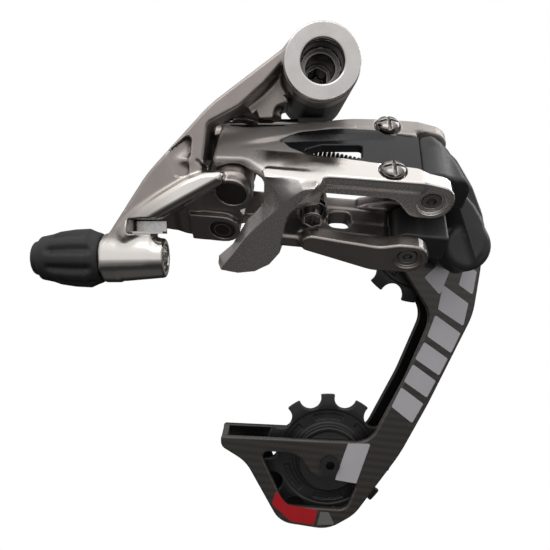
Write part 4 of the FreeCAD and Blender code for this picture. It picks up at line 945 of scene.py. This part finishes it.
def buffed_look(name, satin, bright, satin_rough, bright_rough, grain, bump, edge, satin_metallic=1.0):
    """Blasted alloy that is polished where the mesh's polish layer says so."""
    look = Look(name)
    polish = look.node("ShaderNodeAttribute", attribute_name="polish").outputs["Fac"]
    clouds = look.noise(90.0, 3)
    fine = look.noise(grain, 5)
    base = look.blend(look.ramp(clouds, 0.35, 0.65), shade(satin, 0.94), shade(satin, 1.06))
    shine = look.blend(look.ramp(clouds, 0.35, 0.65), shade(bright, 0.96), bright)
    uneven = look.ramp(fine, 0.25, 0.75, 0.85, 1.18)
    depth = look.ramp(polish, 0, 1, satin_rough, bright_rough)
    look.surface(base_color=look.worn(look.blend(polish, base, shine), edge, 0.35),
                 metallic=look.ramp(polish, 0, 1, satin_metallic, 1.0),
                 roughness=look.math("MULTIPLY", uneven, depth))
    look.bump(look.math("MULTIPLY", fine, look.ramp(polish, 0, 1, 1.0, 0.15)), bump)
    return look.material


def turned_look(name, colour, rough, bump=0.08):
    """Lathe-polished face: fine rings round the hub's axis, and painted shade inside the bore."""
    look = Look(name)
    flattened = look.node("ShaderNodeVectorMath", operation="MULTIPLY")
    flattened.inputs[1].default_value = (1, 0, 1)
    look.wire(look.coords, flattened.inputs[0])
    length = look.node("ShaderNodeVectorMath", operation="LENGTH")
    look.wire(flattened.outputs["Vector"], length.inputs[0])
    rings = look.node("ShaderNodeTexNoise", noise_dimensions="1D")
    rings.inputs["Scale"].default_value = 9000.0
    rings.inputs["Detail"].default_value = 3
    look.wire(length.outputs["Value"], rings.inputs["W"])
    clouds = look.noise(160.0, 3)
    base = look.blend(look.ramp(clouds, 0.35, 0.65), shade(colour, 0.88), colour)
    base = look.worn(base, (0.95, 0.94, 0.92), 0.5)
    # Painted shade: within about 5.7 mm of the axis the colour turns dark grey, standing in for the bore's shadow.
    inside = look.ramp(length.outputs["Value"], 0.0056, 0.0059, 1.0, 0.0)
    look.surface(base_color=look.blend(inside, base, (0.20, 0.19, 0.185)), metallic=1.0, anisotropic=0.4,
                 roughness=look.ramp(rings.outputs["Fac"], 0.2, 0.8, rough * 0.75, rough * 1.3))
    look.bump(rings.outputs["Fac"], bump)
    return look.material


def carbon_look(name):
    """Woven fibre under gloss lacquer: two sets of threads crossing."""
    look = Look(name)
    turn = look.node("ShaderNodeMapping")
    turn.inputs["Rotation"].default_value = (0, math.radians(38), 0)
    look.wire(look.coords, turn.inputs["Vector"])
    split = look.node("ShaderNodeSeparateXYZ")
    look.wire(turn.outputs["Vector"], split.inputs[0])
    thread = 1100.0
    across = look.math("FLOOR", look.math("MULTIPLY", split.outputs["X"], thread))
    down = look.math("FLOOR", look.math("MULTIPLY", split.outputs["Z"], thread))
    over = look.math("FLOORED_MODULO", look.math("ADD", across, down), 4.0)
    top = look.math("LESS_THAN", over, 2.0)
    clouds = look.noise(60.0, 3)
    base = look.blend(top, (0.030, 0.027, 0.025), (0.050, 0.045, 0.041))
    base = look.blend(look.math("MULTIPLY", look.ramp(clouds, 0.3, 0.7), 0.4), base, (0.055, 0.048, 0.042))
    look.surface(base_color=look.worn(base, (0.12, 0.11, 0.10), 0.35), metallic=0.0, coat_weight=0.6,
                 coat_roughness=0.07, roughness=look.ramp(top, 0, 1, 0.36, 0.30))
    look.bump(top, 0.04)
    return look.material


# Colour, metallic share, roughness, cloudiness, grain, bump, edge colour, its share, lacquer.
SOLID_LOOKS = {
    "clip_steel": ((0.42, 0.41, 0.40), 1.0, 0.3, 0.1, 1400, 0.03, (0.9, 0.9, 0.9)),
    "black_steel": ((0.016, 0.016, 0.017), 0.2, 0.42, 0.2, 1600, 0.06, (0.12, 0.12, 0.12)),
    "black_composite": ((0.034, 0.033, 0.034), 0.0, 0.40, 0.15, 2200, 0.10, (0.10, 0.10, 0.105), 0.4),
    "bush_polymer": ((0.06, 0.055, 0.05), 0.0, 0.5),
    "pin_steel": ((0.22, 0.21, 0.20), 1.0, 0.3, 0.1, 1200, 0.05, (0.7, 0.7, 0.7), 0.4),
    "screw_steel": ((0.30, 0.28, 0.27), 1.0, 0.14, 0.15, 1500, 0.03, (0.85, 0.82, 0.80), 0.6),
    "spring_steel": ((0.05, 0.05, 0.055), 1.0, 0.33, 0.2, 1500, 0.05, (0.25, 0.25, 0.27), 0.4),
    "barrel_plastic": ((0.022, 0.022, 0.023), 0.0, 0.55, 0.15, 3000, 0.25, (0.06, 0.06, 0.062), 0.4),
    "barrel_metal": ((0.10, 0.10, 0.10), 1.0, 0.35),
    "insert_black": ((0.010, 0.010, 0.012), 0.0, 0.24, 0.2, 1500, 0.02, (0.08, 0.08, 0.10), 0.4),
    "inner_link_alloy": ((0.42, 0.385, 0.365), 1.0, 0.34, 0.08, 2400, 0.08, (0.55, 0.50, 0.46), 0.5),
    "disc_dark": ((0.09, 0.085, 0.08), 0.9, 0.38, 0.1, 1500, 0.05, (0.3, 0.3, 0.3), 0.3),
    "seal_rubber": ((0.015, 0.015, 0.015), 0.0, 0.7),
    "plate_alloy": ((0.035, 0.034, 0.033), 0.9, 0.32, 0.15, 1800, 0.05, (0.30, 0.29, 0.28), 0.4),
    "pulley_plastic": ((0.017, 0.017, 0.018), 0.0, 0.38, 0.2, 1800, 0.10, (0.05, 0.05, 0.052), 0.4),
    "bearing_steel": ((0.45, 0.45, 0.45), 1.0, 0.25),
    "cap_alloy": ((0.03, 0.03, 0.032), 0.9, 0.3, 0.1, 1500, 0.05, (0.2, 0.2, 0.2), 0.4),
    "silver_paint": ((0.60, 0.59, 0.63), 0.15, 0.38, 0.06, 2600, 0.05, (0.5, 0.5, 0.53), 0.2, 0.4),
    "red_paint": ((0.50, 0.012, 0.020), 0.0, 0.32, 0.08, 2000, 0.04, (0.5, 0.02, 0.02), 0.2, 0.5),
    "grey_paint": ((0.16, 0.16, 0.165), 0.15, 0.36, 0.06, 2000, 0.04, (0.3, 0.3, 0.3), 0.2, 0.4),
}
LOOKS = {name: solid_look(name, *finish) for name, finish in SOLID_LOOKS.items()}
LOOKS["polished_alloy"] = turned_look("polished_alloy", (0.68, 0.66, 0.65), 0.26)
LOOKS["knuckle_alloy"] = buffed_look("knuckle_alloy", (0.37, 0.335, 0.32), (0.86, 0.83, 0.80), 0.36,
                                     0.14, 2600, 0.10, (0.82, 0.78, 0.75))
LOOKS["link_alloy"] = buffed_look("link_alloy", (0.42, 0.39, 0.375), (0.90, 0.87, 0.84), 0.36, 0.13,
                                  2400, 0.06, (0.90, 0.87, 0.84), 0.5)
LOOKS["carbon_plate"] = carbon_look("carbon_plate")
LOOKS["ball_ceramic"] = solid_look("ball_ceramic", (0.08, 0.08, 0.09), 0.0, 0.12, coat=0.6)
SLOT_OF = {entry["node"]: entry["material_slot"] for entry in frame["record"]["subparts"]}
for node_name, thing in NODES.items():
    look = LOOKS[SLOT_OF[node_name]]
    if node_name == "cable_guide_plate":
        look = LOOKS["clip_steel"]
    if node_name == "lower_pulley_bolt":
        look = LOOKS["cap_alloy"]
    thing.data.materials.clear()
    thing.data.materials.append(look)


# ---------------------------------------------------------------- sculpted bodies
def knuckle_polish(points, normals):
    """The cable tube and the band that runs from it to pin A are polished."""
    x, y, z = points.T
    u, w, v = in_linkage(x, y, z)
    reach = np.hypot(y - CABLE_Y, z - CABLE_Z)
    tube = np.clip((TUBE_RADIUS + 1.2 - reach) / 0.8, 0, 1) * np.clip((-41.0 - x) / 1.0, 0, 1)
    ear = np.clip((0.9 - flat(x, z, EAR_BAND)) / 0.8, 0, 1) * np.clip((-29.5 - y) / 1.5, 0, 1)
    ear = ear * np.clip((x + 52.0) / 14.0, 0.2, 1)
    return np.maximum(tube, ear)


def link_polish(points, normals):
    """The band under the insert is polished, the fin and the flange's underside half so."""
    u, w, v = points.T
    band = np.clip((8.6 - v) / 0.8, 0, 1) * np.clip((-0.1 - normals[:, 1]) / 0.3, 0, 1)
    band = band * np.clip((v + 4.5) / 2.0, 0.25, 1) * np.clip((u - 3.0) / 6.0, 0, 1)
    return np.maximum(band, 0.45 * np.clip((3.0 - v) / 1.5, 0, 1))


def end_disc(name, place_uw, radius, level, body):
    """Plain domed disc that closes the end of a pin."""
    cu, cw = place_uw

    def field(u, w, v):
        r = np.hypot(u - cu, w - cw)
        return prism(r - radius, v - 0.02 * r ** 2, level - 0.1, level + DISC_THICK, 0.25)
    piece = sculpt(name, field, (cu - radius - 1, cw - radius - 1, level - 0.6),
                   (cu + radius + 1, cw + radius + 1, level + 2.0), 0.25, LINK_FRAME)
    place(piece, body, "pin_steel", LOOKS["disc_dark"])


def sculpt_all():
    low, high = node_box("b_knuckle")
    piece = sculpt("b_knuckle_casting", b_knuckle_field, low - 1, high + 1, 0.42, polish=knuckle_polish)
    place(piece, "b_knuckle", "knuckle_alloy", LOOKS["knuckle_alloy"], "b_knuckle")
    piece = sculpt("outer_link_forging", outer_link_field, (-8, -9, -7), (61, 32, 29), 0.4, LINK_FRAME,
                   link_polish)
    place(piece, "outer_link", "link_alloy", LOOKS["link_alloy"], "outer_link")
    piece = sculpt("outer_link_insert", insert_field, (10, -9, 4), (50, -2, 23), 0.3, LINK_FRAME)
    place(piece, "outer_link", "insert_black", LOOKS["insert_black"], "link_insert")
    piece = sculpt("inner_link_forging", inner_link_field, (-10, 2, -9), (57, 23, 16), 0.4, LINK_FRAME)
    place(piece, "inner_link", "inner_link_alloy", LOOKS["inner_link_alloy"], "inner_link")
    low, high = node_box("p_knuckle")
    piece = sculpt("p_knuckle_moulding", p_knuckle_field, low - 1, high + 1, 0.42)
    place(piece, "p_knuckle", "black_composite", LOOKS["black_composite"], "p_knuckle", "p_knuckle_cap")
    low, high = node_box("mounting_bolt")
    piece = sculpt("mounting_bolt_turned", bolt_field, low - 1, high + 1, 0.36)
    place(piece, "root", "polished_alloy", LOOKS["polished_alloy"], "mounting_bolt")
    low, high = node_box("barrel_adjuster")
    piece = sculpt("barrel_grip", barrel_field, low - 1, high + 1, 0.4)
    place(piece, "barrel", "barrel_plastic", LOOKS["barrel_plastic"], "barrel_adjuster")
    for end, spot in zip(("high", "low"), SCREW_PLACES):
        piece = sculpt("limit_screw_" + end + "_turned", limit_screw_field(spot),
                       (spot[0] - 4, -11, spot[1] - 4), (spot[0] + 4, 2, spot[1] + 4), 0.2, LINK_FRAME)
        place(piece, "limit_" + end, "screw_steel", LOOKS["screw_steel"], "limit_screw_" + end)
    piece = sculpt("cable_anchor_turned", anchor_field, (ANCHOR[0] - 5, ANCHOR[1] - 5, -4),
                   (ANCHOR[0] + 5, ANCHOR[1] + 5, 11), 0.25, LINK_FRAME)
    place(piece, "inner_link", "screw_steel", LOOKS["screw_steel"], "cable_anchor_bolt")
    wheels = (("upper", UPPER_X, UPPER_Z, math.radians(6)), ("lower", LOWER_X, LOWER_Z, 0.0))
    for name, cx, cz, turn in wheels:
        low, high = node_box(name + "_pulley")
        piece = sculpt(name + "_jockey_wheel", wheel_field(cx, cz, turn), low - 1, high + 1, 0.42)
        place(piece, name + "_wheel", "pulley_plastic", LOOKS["pulley_plastic"], name + "_pulley")
    for letter, (spot, radius, level) in zip("ac", PIN_SEATS):
        end_disc("pin_" + letter + "_end_disc", spot, radius, level, "b_knuckle")


sculpt_all()

spring = coil("return_coil", (10.2, -0.2, 17.9), (44.0, 5.8, 18.2), 2.5, 0.5, 27)
spring.data.materials.append(LOOKS["spring_steel"])
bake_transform(spring)
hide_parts("return_spring")

# ---------------------------------------------------------------- cage
bolt_hole = arc_points(LOWER_X, LOWER_Z, 2.42)
outer = plate("outer_plate_carbon", [CAGE_OUTLINE, CAGE_WINDOW, bolt_hole], PLATE_FRONT, PLATE_THICK, 0.7)
tail_low = node_box("outer_cage_plate")[0]
tail = block("tail_wall", (tail_low[0] + 0.2, PLATE_FRONT + 0.3, -119.7),
             (tail_low[0] + 2.4, INNER_FRONT - 0.05, -116.1), 0.5)
outer = joined("outer_plate_carbon", [outer, tail])
place(outer, "cage", "carbon_plate", LOOKS["carbon_plate"], "outer_cage_plate")
inner = plate("inner_plate_alloy", [CAGE_OUTLINE, INNER_WINDOW, INNER_SLOT, bolt_hole], INNER_FRONT,
              PLATE_THICK, 0.5)
place(inner, "cage", "plate_alloy", LOOKS["plate_alloy"], "inner_cage_plate")

PANEL_LIFT = 0.05


def panel(name, corners, look):
    piece = plate(name, [rounded(corners, 3)], PLATE_FRONT - PANEL_LIFT, PANEL_LIFT, 0.0)
    return place(piece, "cage", "carbon_plate", LOOKS[look])


ARM_PANELS = [
    [(57.6, -58.0), (56.4, -66.0), (51.5, -62.5), (53.5, -55.0)],
    [(48.5, -57.0), (45.0, -66.0), (39.5, -60.0), (44.0, -55.5)],
    [(55.0, -69.0), (53.5, -77.0), (44.5, -71.0), (46.0, -62.5)],
    [(52.6, -79.5), (49.5, -86.5), (41.0, -80.5), (43.6, -73.0)],
    [(48.4, -88.5), (45.5, -94.5), (37.0, -88.5), (40.0, -82.5)],
    [(44.4, -96.4), (41.4, -102.4), (33.2, -96.6), (36.2, -90.4)],
    [(40.2, -104.6), (36.4, -111.6), (29.0, -105.6), (32.3, -98.6)],
]
for number, corners in enumerate(ARM_PANELS):
    panel("arm_panel_" + str(number + 1), [(x, z, 0.5) for x, z in corners], "silver_paint")
panel("lower_panel", [(13.8, -118.9, 0.2), (21.8, -119.0, 0.6), (16.9, -133.6, 0.3), (9.3, -132.2, 0.3)],
      "silver_paint")
panel("red_block", [(-11.6, -136.0, 0.4), (-7.9, -141.2, 2.5), (3.2, -143.4, 0.2), (1.9, -148.9, 0.2),
                    (-6.4, -147.6, 4), (-13.2, -141.0, 0.4)], "red_paint")
panel("grey_wedge", [(4.2, -144.0, 0.1), (7.2, -144.3, 0.1), (9.2, -148.8, 0.1), (2.9, -149.0, 0.1)],
      "grey_paint")

# ---------------------------------------------------------------- stage, light and camera
scene = bpy.context.scene
scene.view_settings.view_transform = "Standard"
scene.view_settings.look = "None"

world = bpy.data.worlds.new("studio")
scene.world = world
world.use_nodes = True
tree = world.node_tree
tree.nodes.clear()


def world_node(kind, **settings):
    made = tree.nodes.new(kind)
    for key, value in settings.items():
        setattr(made, key, value)
    return made


def by_direction(source, low, high, stops):
    """Grey level that follows one component of the view direction."""
    mapped = world_node("ShaderNodeMapRange")
    mapped.inputs["From Min"].default_value = low
    mapped.inputs["From Max"].default_value = high
    tree.links.new(source, mapped.inputs["Value"])
    ramp = world_node("ShaderNodeValToRGB")
    ramp.color_ramp.interpolation = "EASE"
    while len(ramp.color_ramp.elements) < len(stops):
        ramp.color_ramp.elements.new(0.5)
    for element, (where, value) in zip(ramp.color_ramp.elements, stops):
        element.position = (where - low) / (high - low)
        element.color = (value, value, value, 1)
    tree.links.new(mapped.outputs["Result"], ramp.inputs["Fac"])
    return ramp.outputs["Color"]


def multiplied(first, second):
    """Product of two colours; the second may be a plain colour."""
    made = world_node("ShaderNodeMix", data_type="RGBA", blend_type="MULTIPLY")
    made.inputs["Factor"].default_value = 1.0
    first_socket, second_socket = [s for s in made.inputs if s.type == "RGBA"]
    tree.links.new(first, first_socket)
    if isinstance(second, tuple):
        second_socket.default_value = second
    else:
        tree.links.new(second, second_socket)
    return [s for s in made.outputs if s.type == "RGBA"][0]


WARM_WHITE = (1.0, 0.985, 0.97, 1)
# A big soft ceiling and front wall, dark below the horizon and dim on the left and behind.
HEIGHT_STOPS = [(-1.0, 0.07), (-0.80, 0.03), (-0.60, 0.03), (-0.35, 0.12), (-0.16, 0.34), (-0.03, 0.76),
                (0.30, 0.78), (0.60, 0.90), (0.85, 1.20), (1.0, 1.0)]
DEPTH_STOPS = [(-1.0, 1.0), (0.25, 1.0), (0.75, 0.35), (1.0, 0.25)]
SIDE_STOPS = [(-1.0, 0.55), (-0.60, 0.85), (-0.25, 1.0), (0.0, 1.0), (0.5, 1.0), (1.0, 0.45)]
output = world_node("ShaderNodeOutputWorld")
split = world_node("ShaderNodeSeparateXYZ")
tree.links.new(world_node("ShaderNodeTexCoord").outputs["Generated"], split.inputs[0])
shades = None
for axis, stops in (("Z", HEIGHT_STOPS), ("X", SIDE_STOPS), ("Y", DEPTH_STOPS)):
    graded = by_direction(split.outputs[axis], -1.0, 1.0, stops)
    shades = graded if shades is None else multiplied(shades, graded)
surround = world_node("ShaderNodeBackground")
tree.links.new(multiplied(shades, WARM_WHITE), surround.inputs["Color"])
paper = world_node("ShaderNodeBackground")
paper.inputs["Color"].default_value = (1, 1, 1, 1)
ray = world_node("ShaderNodeLightPath")
mix = world_node("ShaderNodeMixShader")
tree.links.new(ray.outputs["Is Camera Ray"], mix.inputs["Fac"])
tree.links.new(surround.outputs[0], mix.inputs[1])
tree.links.new(paper.outputs[0], mix.inputs[2])
tree.links.new(mix.outputs[0], output.inputs["Surface"])

floor = bpy.data.objects.new("floor", bpy.data.meshes.new("floor"))
scene.collection.objects.link(floor)
half, drop = 4.0, node_box("outer_cage_plate")[0][2] / MM - 0.06
floor.data.from_pydata([(-half, -half, drop), (half, -half, drop), (half, half, drop), (-half, half, drop)],
                       [], [(0, 1, 2, 3)])
sheet = bpy.data.materials.new("floor_sheet")
sheet.use_nodes = True
sheet.node_tree.nodes.clear()
glow = sheet.node_tree.nodes.new("ShaderNodeEmission")
glow.inputs["Color"].default_value = (1, 1, 1, 1)
end = sheet.node_tree.nodes.new("ShaderNodeOutputMaterial")
sheet.node_tree.links.new(glow.outputs[0], end.inputs["Surface"])
floor.data.materials.append(sheet)
floor.visible_glossy = False
floor.visible_diffuse = False
floor.visible_shadow = False


def soft_light(name, position, target, size, power, tint=(1, 1, 1)):
    data = bpy.data.lights.new(name, "AREA")
    data.shape = "RECTANGLE"
    data.size, data.size_y = size
    data.energy = power
    data.color = tint
    lamp = bpy.data.objects.new(name, data)
    lamp.location = position
    lamp.rotation_euler = (Vector(target) - Vector(position)).to_track_quat("-Z", "Y").to_euler()
    scene.collection.objects.link(lamp)


middle = tuple((node_box("b_knuckle")[0] + node_box("outer_cage_plate")[1]) / 2 / MM)
soft_light("key", (-0.10, -0.55, 0.55), middle, (0.50, 0.30), 0.7, (1.0, 0.98, 0.96))
soft_light("edge", (0.55, 0.15, 0.30), middle, (0.30, 0.50), 1.2, (0.96, 0.98, 1.0))

# The camera looks along the mounting bolt, a little down and to the right.
LOOK_DOWN, LOOK_RIGHT = math.radians(4.62), math.radians(0.69)
camera = bpy.data.objects.new("camera", bpy.data.cameras.new("camera"))
scene.collection.objects.link(camera)
camera.location = (-0.01408, -0.165, -0.04535)
camera.rotation_euler = (math.radians(90) - LOOK_DOWN, 0, -LOOK_RIGHT)
camera.data.sensor_width = 36.0
camera.data.lens = 32.4
camera.data.clip_start = 0.01
scene.camera = camera
